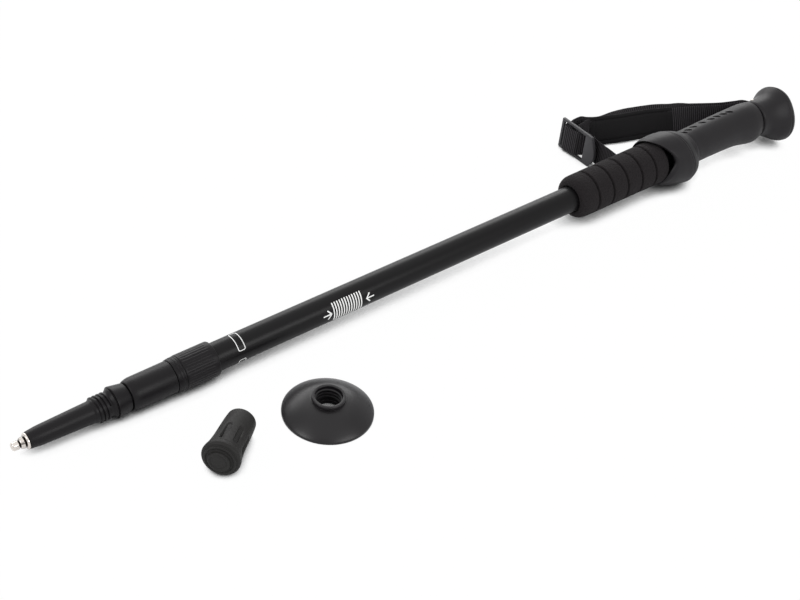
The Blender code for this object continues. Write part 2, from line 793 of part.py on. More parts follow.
def shock_spring(pole):
    """A helix of round wire whose first and last turns lie close together."""
    start = spring_start + SPRING_WIRE_R
    length = SPRING_LENGTH - 2 * SPRING_WIRE_R
    dead_pitch = 2 * SPRING_WIRE_R + TOUCH
    live_turns = SPRING_TURNS - 2
    live_pitch = (length - 2 * dead_pitch) / live_turns
    rings = []
    for i in range(SPRING_TURNS * COIL_SIDES + 1):
        turn = i / COIL_SIDES
        live = min(max(turn - 1, 0.0), live_turns)
        x = start + live * live_pitch + (turn - live) * dead_pitch
        angle = 2 * math.pi * turn
        out = Vector((0.0, math.cos(angle), math.sin(angle)))
        along = Vector((1.0, 0.0, 0.0))
        middle = Vector((x, 0.0, 0.0)) + SPRING_COIL_R * out
        ring = []
        for k in range(WIRE_SIDES):
            round_wire = 2 * math.pi * k / WIRE_SIDES
            ring.append(middle + SPRING_WIRE_R * (math.cos(round_wire) * out
                                                  + math.sin(round_wire) * along))
        rings.append(ring)
    return add_piece("shock_spring", skin(rings), pole, steel(), (spring_start, 0.0, 0.0))


def foam_grip(pole):
    """The foam sleeve with rounded ends and cut grooves."""
    bore_r = upper_tube_r + TOUCH
    profile = [(foam_start, bore_r), (foam_start, FOAM_END_R)]
    side_r = FOAM_R - FOAM_TAPER
    for step in range(1, EDGE_STEPS + 1):
        angle = math.radians(90 * step / EDGE_STEPS)
        profile.append((foam_start + FOAM_EDGE * (1 - math.cos(angle)),
                        FOAM_END_R + (side_r - FOAM_END_R) * math.sin(angle)))
    for k in range(FOAM_GROOVES):
        middle = foam_start + FOAM_FIRST_GROOVE + k * FOAM_GROOVE_PITCH
        share = (middle - foam_start) / FOAM_LENGTH
        here = side_r + FOAM_TAPER * share
        floor = here - FOAM_GROOVE_DEPTH
        profile.append((middle - FOAM_GROOVE / 2, here))
        profile.append((middle, floor))
        profile.append((middle + FOAM_GROOVE / 2, here))
    profile.append((foam_end, FOAM_R))
    profile.append((foam_end, bore_r))
    return add_piece("foam_grip", turned(profile, closed=True), pole, foam())


def handle_section(row, front):
    """One ring of the handle's skin: half heights differ between palm and fingers."""
    x, palm, fingers, side, slant = row
    ring = []
    for i in range(SKIN_SIDES):
        angle = 2 * math.pi * i / SKIN_SIDES
        half = palm if math.cos(angle) > 0 else fingers
        y = half * math.cos(angle) * MM
        z = side * math.sin(angle) * MM
        ring.append(Vector((front + x * MM - slant * y, y, z)))
    return ring


def dimple_tools(handle):
    """Two rows of slanted ovals pressed into the palm side, in mirror image."""
    rows = smooth_values(GRIP_SECTIONS, EDGE_STEPS)
    tools = []
    for side in (-1, 1):
        slant = Matrix.Rotation(math.radians(-DIMPLE_SLANT * side), 3, "Y")
        for k, (x, degrees) in enumerate(DIMPLES):
            angle = math.radians(degrees) * side
            row = min(rows, key=lambda r: abs(r[0] - x))
            spot = Vector((grip_lip / MM + x, row[1] * math.cos(angle), row[3] * math.sin(angle)))
            bm = bmesh.new()
            bmesh.ops.create_icosphere(bm, subdivisions=1, radius=1.0)
            bmesh.ops.scale(bm, verts=bm.verts,
                            vec=(DIMPLE_LENGTH / 2, DIMPLE_DEPTH, DIMPLE_WIDTH / 2))
            bmesh.ops.rotate(bm, verts=bm.verts, matrix=Matrix.Rotation(angle, 3, "X") @ slant)
            bmesh.ops.translate(bm, verts=bm.verts, vec=spot * MM)
            tools.append(add_piece(f"grip_dimple_{side}_{k}", bm, handle))
    return tools


def grip(handle):
    """The moulded handle: a flared hand rest whose scalloped lip surrounds the foam's end."""
    rings = [handle_section(row, grip_lip) for row in GRIP_SECTIONS]
    body = add_piece("grip", skin(rings), handle, grip_rubber())
    cup_r = FOAM_R + CUP_CLEARANCE
    bore_r = upper_tube_r + TOUCH
    hollow = [
        (grip_lip - CUT_PAST, 0.0),
        (grip_lip - CUT_PAST, cup_r),
        (grip_lip + CUP_DEPTH - COLLAR_EDGE, cup_r),
        (grip_lip + CUP_DEPTH, cup_r - COLLAR_EDGE),
        (grip_lip + CUP_DEPTH, bore_r),
        (head_front + CUT_PAST, bore_r),
        (head_front + CUT_PAST, 0.0),
    ]
    boolean(body, add_piece("grip_hollow", turned(hollow), handle))
    centre = (grip_lip - SCALLOP_BEFORE_LIP, -SCALLOP_TO_FINGERS)
    reach = FOAM_R + CUT_PAST
    scallop = rod_along_z(centre, SCALLOP_R, -reach, reach, SIDES)
    boolean(body, add_piece("grip_scallop", scallop, handle))
    for tool in dimple_tools(handle):
        boolean(body, tool)
    return body


def grip_head(handle, slot):
    """The trumpet-shaped head, with its spigot, strap pocket and pin hole."""
    spigot = upper_tube_end + TOUCH
    rings = [
        circle(spigot, HEAD_SPIGOT_R, SKIN_SIDES),
        circle(head_front, HEAD_SPIGOT_R, SKIN_SIDES),
    ]
    rings += [handle_section(row, head_front) for row in HEAD_SECTIONS]
    end = head_front + HEAD_SECTIONS[-1][0] * MM + HEAD_DOME
    rings.append([Vector((end, 0.0, 0.0))])
    head = add_piece("grip_head", skin(rings), handle, grip_rubber())
    half_x = STRAP_PIN_R + TOUCH + WEBBING_THICKNESS + POCKET_CLEARANCE
    half_z = WEBBING_WIDTH / 2 + POCKET_CLEARANCE
    pocket = block((strap_pin_x - half_x, STRAP_PIN_DEPTH - half_x, -half_z),
                   (strap_pin_x + half_x, pocket_mouth + CUT_PAST, half_z))
    boolean(head, add_piece("head_pocket", pocket, slot))
    low, high = strap_pin_span()
    hole = rod_along_z((strap_pin_x, STRAP_PIN_DEPTH), STRAP_PIN_R + TOUCH,
                       low - CUT_PAST, high + TOUCH, BOLT_SIDES)
    boolean(head, add_piece("head_pin_hole", hole, slot))
    return head


def strap_pin_span():
    """Ends of the strap's pin: a seat of two pin diameters past the pocket each way."""
    reach = WEBBING_WIDTH / 2 + POCKET_CLEARANCE + 2 * STRAP_PIN_R
    return -reach, reach


def strap_pin(slot):
    """The steel pin that the webbing turns round."""
    low, high = strap_pin_span()
    pin = rod_along_z((strap_pin_x, STRAP_PIN_DEPTH), STRAP_PIN_R, low, high, BOLT_SIDES)
    return add_piece("strap_pin", pin, slot, steel())


def band_frames(stations):
    """Centre, width direction and face direction along a band."""
    frames = []
    last = len(stations) - 1
    for i, (centre, across) in enumerate(stations):
        along = stations[min(i + 1, last)][0] - stations[max(i - 1, 0)][0]
        along.normalize()
        across = (across - across.dot(along) * along).normalized()
        frames.append((centre, across, along.cross(across)))
    return frames


def band_rings(frames, width, thickness):
    """Rectangular rings along a band, with points across it so that it can twist."""
    rings = []
    for centre, across, face in frames:
        half_t = face * (thickness / 2)
        spots = [across * width * (k / BAND_STRIPS - 0.5) for k in range(BAND_STRIPS + 1)]
        lower = [centre + spot - half_t for spot in spots]
        upper = [centre + spot + half_t for spot in spots]
        rings.append(lower + upper[::-1])
    return rings


def smooth_route(stations):
    """More stations on a smooth curve through the chosen ones."""
    rows = [[*centre, *across] for centre, across in stations]
    made = smooth_values(rows, ROUTE_STEPS)
    return [(Vector(row[:3]), Vector(row[3:]).normalized()) for row in made]


def on_floor(rows):
    """Stations from a table in millimetres, with places along the pole from the pin."""
    pin = Vector((strap_pin_x, 0.0, 0.0))
    return [(pin + Vector(centre) * MM, Vector(across).normalized())
            for centre, across in rows]


def strap_root(to_floor):
    """The webbing's turn round its pin, in the frame of the pocket, first leg to last."""
    reach = STRAP_PIN_R + TOUCH + WEBBING_THICKNESS / 2
    centre = Vector((strap_pin_x, STRAP_PIN_DEPTH, 0.0))
    places = [Vector((strap_pin_x - reach, pocket_mouth - STRAP_SINK, 0.0))]
    for step in range(7):
        angle = math.radians(180 + 30 * step)
        places.append(centre + reach * Vector((math.cos(angle), math.sin(angle), 0.0)))
    places.append(Vector((strap_pin_x + reach, pocket_mouth, 0.0)))
    across = (to_floor.to_3x3() @ Vector((0.0, 0.0, 1.0))).normalized()
    return [(to_floor @ place, across) for place in places]


def buckle_heights():
    """Bottom, middle and top of the buckle where it stands on the floor."""
    inner = WEBBING_WIDTH + 4 * TOUCH
    return FLOOR_GAP, FLOOR_GAP + BUCKLE_RAIL + inner / 2, FLOOR_GAP + 2 * BUCKLE_RAIL + inner


def round_bar(bar_y, layer, degrees):
    """The webbing's stations round one of the buckle's bars, in a layer counted from 0."""
    clear_of_bar = math.hypot(BUCKLE_BAR, BUCKLE_THICKNESS) / 2 + TOUCH
    reach = clear_of_bar + WEBBING_THICKNESS / 2 + layer * (WEBBING_THICKNESS + TOUCH)
    height = buckle_heights()[1]
    made = []
    for degree in degrees:
        angle = math.radians(degree)
        spot = (buckle_x + reach * math.cos(angle), bar_y + reach * math.sin(angle), height)
        made.append((Vector(spot), Vector((0.0, 0.0, 1.0))))
    return made


def beside_bar(bar_y, offset):
    """One station of the webbing at an offset from a bar's centre."""
    spot = Vector((buckle_x + offset[0] * MM, bar_y + offset[1] * MM, buckle_heights()[1]))
    return [(spot, Vector((0.0, 0.0, 1.0)))]


def sewn_end():
    """The padded leg's end, turned round the far inner bar."""
    far_bar = BUCKLE_BARS[1]
    return (beside_bar(far_bar, SEWN_START) + round_bar(far_bar, 0, SEWN_TURN)
            + beside_bar(far_bar, SEWN_END))


def laced_end():
    """The plain leg's way over both inner bars, outside the sewn end."""
    near_bar, far_bar = BUCKLE_BARS
    return (round_bar(far_bar, 1, LACED_FAR_BAR) + round_bar(near_bar, 0, LACED_NEAR_BAR)
            + beside_bar(near_bar, LACED_END))


def strap_route(to_floor):
    """Stations of the whole band: padded leg, turn in the handle, plain leg, loose end."""
    return (sewn_end() + on_floor(PADDED_LEG) + strap_root(to_floor) + on_floor(PLAIN_LEG)
            + laced_end() + on_floor(LOOSE_END))


def strap_frames(to_floor):
    """The frames of the whole band, raised where the webbing would dip into the floor."""
    frames = []
    for centre, across, face in band_frames(smooth_route(strap_route(to_floor))):
        reach = abs(across.z) * WEBBING_WIDTH / 2 + abs(face.z) * WEBBING_THICKNESS / 2
        lift = max(0.0, FLOOR_GAP + reach - centre.z)
        frames.append((centre + Vector((0.0, 0.0, lift)), across, face))
    return frames


def strap_webbing(floor, to_floor):
    """The webbing band of the whole strap."""
    band = band_rings(strap_frames(to_floor), WEBBING_WIDTH, WEBBING_THICKNESS)
    return add_piece("strap_webbing", skin(band), floor, webbing())


def wrist_pad(floor, to_floor):
    """The padded sleeve round the webbing's first leg."""
    first = (len(sewn_end()) + PAD_FROM) * ROUTE_STEPS
    last = (len(sewn_end()) + PAD_TO) * ROUTE_STEPS
    part = strap_frames(to_floor)[first:last + 1]
    outside = band_rings(part, PAD_WIDTH, PAD_THICKNESS)
    inside = band_rings(part, PAD_WIDTH - 2 * PAD_WALL, PAD_THICKNESS - 2 * PAD_WALL)
    shell = skin(outside + inside[::-1], closed=True)
    return add_piece("wrist_pad", shell, floor, pad_fabric())


def strap_buckle(floor):
    """A flat ladder buckle that stands on edge, with a rounded tab at its near end."""
    near, far = BUCKLE_ENDS
    low, middle, high = buckle_heights()
    outline = [(far, low), (far, high)]
    bow = BUCKLE_TAB / 2
    for step in range(BOW_STEPS + 1):
        height = high + (low - high) * step / BOW_STEPS
        share = (height - middle) / (high - middle)
        outline.append((near + bow * share * share, height))
    bm = bmesh.new()
    half = BUCKLE_THICKNESS / 2
    face = bm.faces.new([bm.verts.new((buckle_x - half, y, z)) for y, z in outline])
    grown = bmesh.ops.extrude_face_region(bm, geom=[face])
    moved = [v for v in grown["geom"] if isinstance(v, bmesh.types.BMVert)]
    bmesh.ops.translate(bm, verts=moved, vec=(BUCKLE_THICKNESS, 0.0, 0.0))
    buckle = add_piece("strap_buckle", bm, floor, buckle_plastic())
    edges = [near + BUCKLE_TAB]
    for bar in BUCKLE_BARS:
        edges += [bar - BUCKLE_BAR / 2, bar + BUCKLE_BAR / 2]
    edges.append(far - BUCKLE_BAR)
    for k in range(0, len(edges), 2):
        slot = block((buckle_x - BUCKLE_THICKNESS, edges[k], low + BUCKLE_RAIL),
                     (buckle_x + BUCKLE_THICKNESS, edges[k + 1], high - BUCKLE_RAIL))
        boolean(buckle, add_piece(f"buckle_slot_{k}", slot, floor))
    return buckle


def rubber_cap(cap):
    """The cap for the tip, along +X from the rim of its foot to its open end."""
    mouth_r = HOLDER_CONE_R + CAP_SOCKET_CLEARANCE
    floor_r = HOLDER_NOSE_R + CAP_SOCKET_CLEARANCE
    socket_end = CAP_LENGTH - CAP_SOCKET_DEPTH
    profile = [(-CAP_TREAD[0][0] * MM, 0.0)]
    profile += [(-x * MM, radius * MM) for x, radius in CAP_TREAD]
    profile += [
        (0.0, CAP_FOOT_R),
        (CAP_FOOT_BAND, CAP_FOOT_R),
        (CAP_FOOT_BAND + COLLAR_EDGE, CAP_BODY_R),
        (CAP_NECK, CAP_NECK_R),
        (CAP_LENGTH - COLLAR_EDGE / 2, CAP_MOUTH_R),
        (CAP_LENGTH, CAP_MOUTH_R - COLLAR_EDGE / 2),
        (CAP_LENGTH, mouth_r),
        (socket_end, floor_r),
        (socket_end, 0.0),
    ]
    body = add_piece("rubber_cap", turned(profile), cap, cap_rubber())
    start = CAP_FOOT_BAND + 2 * COLLAR_EDGE
    end = start + CAP_SLOT_LENGTH
    fall = (CAP_BODY_R - CAP_NECK_R) / (CAP_NECK - CAP_FOOT_BAND)
    for k in range(CAP_SLOTS):
        bm = block((start, -CAP_SLOT_WIDTH / 2, 0.0), (end, CAP_SLOT_WIDTH / 2, CAP_FOOT_R))
        for vert in bm.verts:
            if vert.co.z < CAP_FOOT_R / 2:
                depth = CAP_SLOT_DEPTH * (1 - CAP_SLOT_FADE * (vert.co.x - start) / (end - start))
                vert.co.z = CAP_BODY_R - depth - fall * (vert.co.x - CAP_FOOT_BAND)
        turn = Matrix.Rotation(2 * math.pi * k / CAP_SLOTS, 3, "X")
        bmesh.ops.rotate(bm, verts=bm.verts, matrix=turn)
        boolean(body, add_piece(f"cap_slot_{k}", bm, cap))
    return body


def dome(inner_r, outer_r, high, low):
    """Radius and height of a curve that falls from the collar out to the rim."""
    rows = []
    for k in range(DOME_STEPS + 1):
        share = k / DOME_STEPS
        height = high - (high - low) * share ** BASKET_DOME
        rows.append((inner_r + (outer_r - inner_r) * share, height))
    return rows


def mud_basket(floor):
    """The domed basket: a thin shell with a rim, a raised collar and a hub inside."""
    bore_r = THREAD_CORE_R + BASKET_BORE_CLEARANCE
    hub_r = bore_r + BASKET_SHELL
    top = BASKET_HEIGHT - BASKET_COLLAR_HEIGHT
    outside = dome(BASKET_COLLAR_R, BASKET_R, top, BASKET_RIM)
    inside = dome(hub_r, BASKET_R - BASKET_SHELL, top - BASKET_SHELL, 0.0)
    outline = [(bore_r, BASKET_HUB_FOOT), (bore_r, BASKET_HEIGHT),
               (BASKET_COLLAR_R, BASKET_HEIGHT)]
    outline += outside
    outline += [(BASKET_R, 0.0)]
    outline += inside[::-1]
    outline += [(hub_r, BASKET_HUB_FOOT)]
    bm = turned([(z, radius) for radius, z in outline], closed=True)
    bmesh.ops.rotate(bm, verts=bm.verts, matrix=Matrix.Rotation(math.radians(-90), 3, "Y"))
    bmesh.ops.translate(bm, verts=bm.verts, vec=(*BASKET_SPOT, 0.0))
    return add_piece("mud_basket", bm, floor, black_plastic(), (*BASKET_SPOT, 0.0))


def surface_points(pieces, carrier):
    """Points of finished pieces in the frame of the empty that carries them."""
    bpy.context.view_layer.update()
    graph = bpy.context.evaluated_depsgraph_get()
    back = carrier.matrix_world.inverted()
    points = []
    for piece in pieces:
        seen = piece.evaluated_get(graph)
        mesh = seen.to_mesh()
        points += [back @ seen.matrix_world @ vert.co for vert in mesh.vertices]
        seen.to_mesh_clear()
    return points


def lay_down(carrier, pieces):
    """Tilt and lift a carrier until its pieces rest on two points of the floor."""
    points = surface_points(pieces, carrier)
    balance = sum(point.x for point in points) / len(points)
    lowest = {}
    for point in points:
        key = round(point.x, 5)
        lowest[key] = min(point.z, lowest.get(key, point.z))
    ends = sorted(lowest.items())
    hull = []
    for x, z in ends:
        while len(hull) > 1 and ((hull[-1][0] - hull[-2][0]) * (z - hull[-2][1])
                                 <= (hull[-1][1] - hull[-2][1]) * (x - hull[-2][0])):
            hull.pop()
        hull.append((x, z))
    for (x1, z1), (x2, z2) in zip(hull, hull[1:]):
        if x1 <= balance <= x2:
            slope = math.atan2(z2 - z1, x2 - x1)
            lift = x1 * math.sin(slope) - z1 * math.cos(slope)
            carrier.rotation_euler.y += slope
            carrier.location.z = lift
    return carrier


def stand_on_origin(whole, pieces):
    """Move everything so that the middle of the bounding box's bottom is the origin."""
    points = surface_points(pieces, whole)
    low = [min(point[i] for point in points) for i in range(3)]
    high = [max(point[i] for point in points) for i in range(3)]
    whole.location = (-(low[0] + high[0]) / 2, -(low[1] + high[1]) / 2, -low[2])


def main():
    clear_scene()
    floor = frame("floor_frame")
    pole = frame("pole_axis", floor)
    handle = frame("handle_frame", pole, turn=(math.radians(HANDLE_ROLL), 0.0, 0.0))
    slot = frame("strap_slot", handle, turn=(math.radians(STRAP_TURN), 0.0, 0.0))

    pieces = [
        tip_pin(pole),
        tip_holder(pole),
        tube("lower_tube", pole, lower_tube_start, lower_tube_end, lower_tube_r),
        tube("middle_tube", pole, middle_tube_start, middle_tube_end, middle_tube_r),
        tube("upper_tube", pole, upper_tube_start, upper_tube_end, upper_tube_r),
        lower_collar(pole),
        upper_collar(pole),
        collar_ring(pole),
        lower_plug(pole),
        lock_screw("lower_screw", pole, plug_end - PLUG_BORE_DEPTH + TOUCH, lower_lock_foot),
        lock_sleeve("lower_sleeve", pole, lower_lock_foot, middle_bore_r),
        lock_cone("lower_cone", pole, lower_lock_foot, middle_bore_r),
        nut("lower_end_nut", pole, lower_lock_foot + SLEEVE_LENGTH + TOUCH,
            END_NUT_THICKNESS, END_NUT_R, nylon()),
        shock_guide(pole),
        shock_seat(pole),
        shock_spring(pole),
        nut("shock_stop_nut", pole, stop_nut_start, STOP_NUT_THICKNESS, STOP_NUT_R, steel()),
        lock_screw("shock_rod", pole, rod_start, middle_lock_foot),
        lock_sleeve("middle_sleeve", pole, middle_lock_foot, upper_bore_r),
        lock_cone("middle_cone", pole, middle_lock_foot, upper_bore_r),
        nut("middle_end_nut", pole, middle_lock_foot + SLEEVE_LENGTH + TOUCH,
            END_NUT_THICKNESS, END_NUT_R, nylon()),
        foam_grip(pole),
        grip(handle),
        grip_head(handle, slot),
        strap_pin(slot),
    ]
    lay_down(pole, pieces)

    cap = frame("cap_axis", floor, at=(*CAP_SPOT, 0.0),
                turn=(0.0, 0.0, math.radians(CAP_HEADING)))
    pieces.append(rubber_cap(cap))
    lay_down(cap, pieces[-1:])
    pieces.append(mud_basket(floor))

    bpy.context.view_layer.update()
    to_floor = floor.matrix_world.inverted() @ slot.matrix_world
    pieces.append(strap_webbing(floor, to_floor))
    pieces.append(wrist_pad(floor, to_floor))
    pieces.append(strap_buckle(floor))
    stand_on_origin(floor, pieces)
    bpy.context.view_layer.update()


main()
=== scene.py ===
"""The finished look of the telescopic walking pole, its tip cap and its mud basket.

An add-on with one operator for each piece or group of like pieces and one for the stage.
Pieces are built in millimetres in the frames of the CAD source: places along the pole are
distances from the end of its steel tip, and the handle's palm side is its +Y. Each piece
is then put in the whole object's frame, in metres, and rides on its CAD body.
"""
import math

import bmesh
import bpy
from bpy.props import FloatProperty, FloatVectorProperty, PointerProperty
from mathutils import Matrix, Vector


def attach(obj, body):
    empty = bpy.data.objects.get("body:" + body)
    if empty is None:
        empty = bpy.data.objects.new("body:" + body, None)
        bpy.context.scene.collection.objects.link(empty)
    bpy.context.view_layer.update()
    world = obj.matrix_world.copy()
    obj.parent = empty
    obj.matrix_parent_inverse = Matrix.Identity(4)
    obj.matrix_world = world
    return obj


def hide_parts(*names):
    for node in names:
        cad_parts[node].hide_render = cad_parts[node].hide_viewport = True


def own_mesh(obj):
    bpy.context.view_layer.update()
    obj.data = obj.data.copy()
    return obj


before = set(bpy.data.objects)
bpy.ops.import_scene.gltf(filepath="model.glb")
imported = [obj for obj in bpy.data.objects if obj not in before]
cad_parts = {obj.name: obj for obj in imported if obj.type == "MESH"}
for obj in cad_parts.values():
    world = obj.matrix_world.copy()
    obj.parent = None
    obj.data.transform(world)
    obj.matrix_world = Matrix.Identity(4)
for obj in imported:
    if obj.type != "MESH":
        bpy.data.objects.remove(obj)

bl_info = {
    "name": "Walking pole finish",
    "version": (1, 0, 0),
    "blender": (4, 5, 0),
    "location": "3D View > Sidebar > Walking pole",
    "description": "Builds a telescopic walking pole's finished pieces on its CAD frame",
    "category": "Object",
}

# The CAD source's own frames, as places in the whole object's frame: the floor below the
# pole's tip, the pole, the handle turned on it, the strap's slot, the loose cap and basket
FLOOR = Matrix.Translation((-0.317582, 0.007869, 0.0))
POLE = Matrix.Translation((-0.317582, 0.007869, 0.0083)) @ Matrix.Rotation(-0.02502, 4, "Y")
HANDLE = POLE @ Matrix.Rotation(0.7278, 4, "X")
SLOT = HANDLE @ Matrix.Rotation(math.radians(-60.0), 4, "X")
CAP = (Matrix.Translation((-0.228282, -0.064231, 0.011946))
       @ Matrix.Rotation(0.65101, 4, "Z") @ Matrix.Rotation(0.0929, 4, "Y"))
BASKET = Matrix.Translation((-0.149082, -0.056631, 0.0))
MM = 0.001
MERGE = 0.002           # distance between points that become one
SHARP = 38.0            # degrees between faces that show an edge
TOUCH = 0.3             # gap between two pieces that touch
FLOOR_GAP = 0.3

# Places along the pole
HOLDER_FRONT = 9.7
THREAD = 50.1
FLANGE = 60.1
SOCKET = 61.5           # where the lower tube's socket in the holder ends
HOLDER_END = 71.6
LOWER_COLLAR = 72.4
LOWER_COLLAR_END = 101.1
UPPER_COLLAR = 102.8
UPPER_COLLAR_END = 129.5
FOAM_START = 416.6
GRIP_LIP = 498.3
HEAD_FRONT = 606.6
STRAP_PIN = 611.4

# Tubes: CAD node, start, end, outer radius and CAD body
UPPER_TUBE_R = 9.0
TUBES = [
    ("upper_tube", 109.8, 600.1, UPPER_TUBE_R, "handle"),
    ("middle_tube", 76.1, 523.8, 8.0, "middle_section"),
    ("lower_tube", 61.8, 451.0, 7.0, "lower_section"),
]
TUBE_WALL = 0.8

# Steel tip: where its two grooves lie, the radius below which their painted shade
# is darkest, the painted shade on their sides, and the dark streaks along its nose, a
# painted reflection of the dark room that it mirrors
TIP_GROOVES = ((4.0, 4.8), (7.1, 7.9))
TIP_SHADE_R = 3.0
TIP_GROOVE_SIDE_SHADE = 0.2
TIP_NOSE = (1.0, 7.0)
REFLECTION_STREAKS = 5
REFLECTION_STREAK_TONE = 0.75

# Tip holder and its basket thread
HOLDER_BORE_R = 2.6
HOLDER_SOCKET_R = 7.2
SOCKET_PLUG = 22.0      # how far the holder's core reaches into the lower tube
THREAD_R = 7.2
THREAD_PITCH = 2.4

# Upper collar: its flutes, how far from its ends they lie, and over what length each fades
FLUTES = 32
FLUTE_ENDS = (0.8, 2.8)
FLUTE_FADE = 1.2
FLUTED_R = 10.9         # the radius outside which lies the collar's fluted skin

# Foam sleeve
FOAM_LENGTH = 87.0
FOAM_SHORT = 3.2        # how much of that its rounded front leaves free
FOAM_BORE_R = 9.4
FOAM_NOSE = 6.4
FOAM_NOSE_R = 10.2
FOAM_R = 15.2
FOAM_TAPER = 0.4        # what its radius gains along it
FOAM_GROOVES = 5
FOAM_GROOVE = 17.8      # place of the first groove, and the distance between two
FOAM_GROOVE_PITCH = 13.8

# Handle: distance from its lip, half heights on the palm and finger sides, half width, lean
GRIP_SECTIONS = [
    (0.0, 16.9, 17.0, 17.0, 0.20),
    (1.8, 17.8, 18.2, 18.0, 0.20),
    (5.8, 18.6, 19.8, 19.0, 0.20),
    (10.8, 19.0, 21.0, 19.8, 0.20),
    (15.3, 18.9, 21.9, 20.1, 0.20),
    (19.8, 18.3, 22.6, 20.3, 0.20),
    (25.8, 16.8, 21.2, 18.9, 0.20),
    (29.8, 15.3, 18.8, 16.7, 0.20),
    (32.8, 13.8, 15.6, 14.4, 0.20),
    (36.8, 13.2, 13.4, 13.2, 0.18),
    (47.8, 13.4, 13.0, 13.2, 0.10),
    (57.8, 13.6, 13.0, 13.2, 0.00),
    (71.8, 13.9, 13.2, 13.3, 0.00),
    (81.8, 14.0, 13.7, 13.5, 0.00),
    (89.8, 14.0, 15.0, 13.9, 0.00),
    (95.8, 14.0, 16.05, 14.3, 0.00),
    (99.8, 13.8, 16.3, 14.4, 0.00),
    (103.8, 13.4, 15.6, 14.0, -0.05),
    (106.8, 12.7, 14.6, 13.2, -0.05),
    (107.8, 11.8, 13.6, 12.3, -0.05),
]
HEAD_SECTIONS = [
    (0.0, 11.8, 13.4, 12.4, -0.05),
    (0.9, 12.5, 14.3, 13.3, -0.07),
    (4.5, 12.4, 14.8, 13.6, -0.12),
    (8.5, 12.4, 15.9, 14.2, -0.15),
    (12.5, 12.9, 18.3, 15.2, -0.15),
    (15.5, 13.8, 20.4, 16.4, -0.12),
    (19.0, 15.7, 23.0, 18.1, -0.08),
    (22.5, 17.2, 24.7, 19.2, -0.04),
    (24.3, 17.0, 24.6, 19.0, 0.00),
    (26.6, 15.8, 23.0, 17.6, 0.00),
    (28.2, 13.0, 19.6, 14.8, 0.00),
]
# Dimples on each side of the palm line: distance from the lip and degrees from that line
DIMPLES = [
    (35.8, 37.0),
    (40.8, 34.0),
    (46.8, 31.0),
    (55.5, 30.0),
    (63.9, 33.0),
    (70.1, 33.0),
    (76.4, 36.0),
    (82.2, 39.0),
]
DIMPLE_SLANT = 37.0
DIMPLE_SIZE = (3.1, 2.2, 1.45)
CUP_R = 16.2
CUP_DEPTH = 13.8
CUP_BORE_R = 9.35
CUP_CHAMFER = 0.8
CUP_TIGHTER = 0.4       # how much narrower the cup is where its edge runs near the lip
CUP_WIDENS = (1.5, 4.5)         # the edge's distances from the lip between which it widens
LIP_ROUND = 1.0
HEAD_BORE_R = 9.1
HEAD_BULGE = 0.6        # how far the middle of the head's end stands out
# Grooves round the handle and its head: place, depth and half width; a bead has a negative
# depth
GRIP_GROOVES = [(35.5, 0.35, 0.8), (22.2, 0.45, 0.4), (21.0, -0.25, 0.6)]
HEAD_GROOVES = [(22.6, 0.45, 0.45)]
# The cup's edge: degrees from the palm line and distance from the lip
CUP_EDGE = [
    (0.0, 0.3),
    (34.0, 0.5),
    (47.0, 1.2),
    (62.0, 2.8),
    (75.0, 4.4),
    (88.0, 6.2),
    (99.0, 7.5),
    (108.0, 8.0),
    (116.0, 7.6),
    (125.0, 6.0),
    (134.0, 4.0),
    (144.0, 2.6),
    (156.0, 1.4),
    (170.0, 0.5),
    (180.0, 0.3),
]
EDGE_REACH = 18.0       # how far from the lip the surface is drawn to that edge

# Strap
WEBBING_WIDTH = 19.5
WEBBING_THICKNESS = 1.1
RIB_ROWS = 4            # rows of points for each rib, half of them in the dip beside it
RIB_DIP = 0.5           # the webbing's share of thickness in that dip
PAD_WIDTH = 21.2
PAD_THICKNESS = 3.2
PAD_ROW = 0.7           # distance between the pad's rows of points
PAD_ENDS = 4.0          # length over which it thickens from each end
# The pad's seam in shares of its width, and the fold at each end: place, depth, half width
PAD_SEAMS = [(0.35, 0.6, 0.02)]
PAD_FOLDS = [(4.5, 0.3, 0.5)]
# The strap's route in stations: place along the pole from the pin, place across it and
# height above the floor; then the direction of the webbing's width
PADDED_LEG = [
    ((-118.9, 62.6, 11.9), (0.0, 0.12, 1.0)),
    ((-111.4, 62.6, 10.9), (0.0, 0.35, 0.94)),
    ((-100.4, 60.2, 9.9), (0.0, 0.58, 0.82)),
    ((-84.9, 55.3, 9.7), (0.0, 0.643, 0.766)),
    ((-63.4, 49.6, 9.7), (0.0, 0.643, 0.766)),
    ((-46.4, 40.3, 11.6), (0.0, 0.55, 0.835)),
    ((-30.4, 30.8, 14.2), (0.0, 0.35, 0.937)),
    ((-20.4, 25.0, 15.3), (0.0, 0.2, 0.98)),
    ((-12.4, 20.4, 16.0), (0.0, 0.17, 0.985)),
    ((-6.1, 16.6, 17.2), (0.0, 0.27, 0.963)),
]
PAD_FROM = 1            # stations of that leg that the pad covers
PAD_TO = 5
PLAIN_LEG = [
    ((-2.4, 18.0, 17.2), (0.0, 0.25, 0.968)),
    ((-10.4, 25.3, 14.4), (0.0, 0.2, 0.98)),
    ((-19.7, 34.5, 11.2), (0.0, 0.38, 0.925)),
    ((-31.4, 45.4, 7.9), (0.0, 0.68, 0.733)),
    ((-40.3, 51.6, 6.7), (0.0, 0.8, 0.6)),
    ((-51.8, 59.7, 5.5), (0.0, 0.88, 0.47)),
    ((-62.7, 64.8, 5.2), (0.0, 0.906, 0.42)),
    ((-75.4, 67.0, 5.2), (0.0, 0.906, 0.42)),
    ((-90.6, 66.9, 5.6), (0.0, 0.88, 0.47)),
    ((-105.4, 68.3, 7.8), (0.0, 0.72, 0.69)),
    ((-116.4, 69.5, 10.8), (0.0, 0.3, 0.95)),
    ((-123.4, 69.7, 12.2), (0.0, 0.0, 1.0)),
]
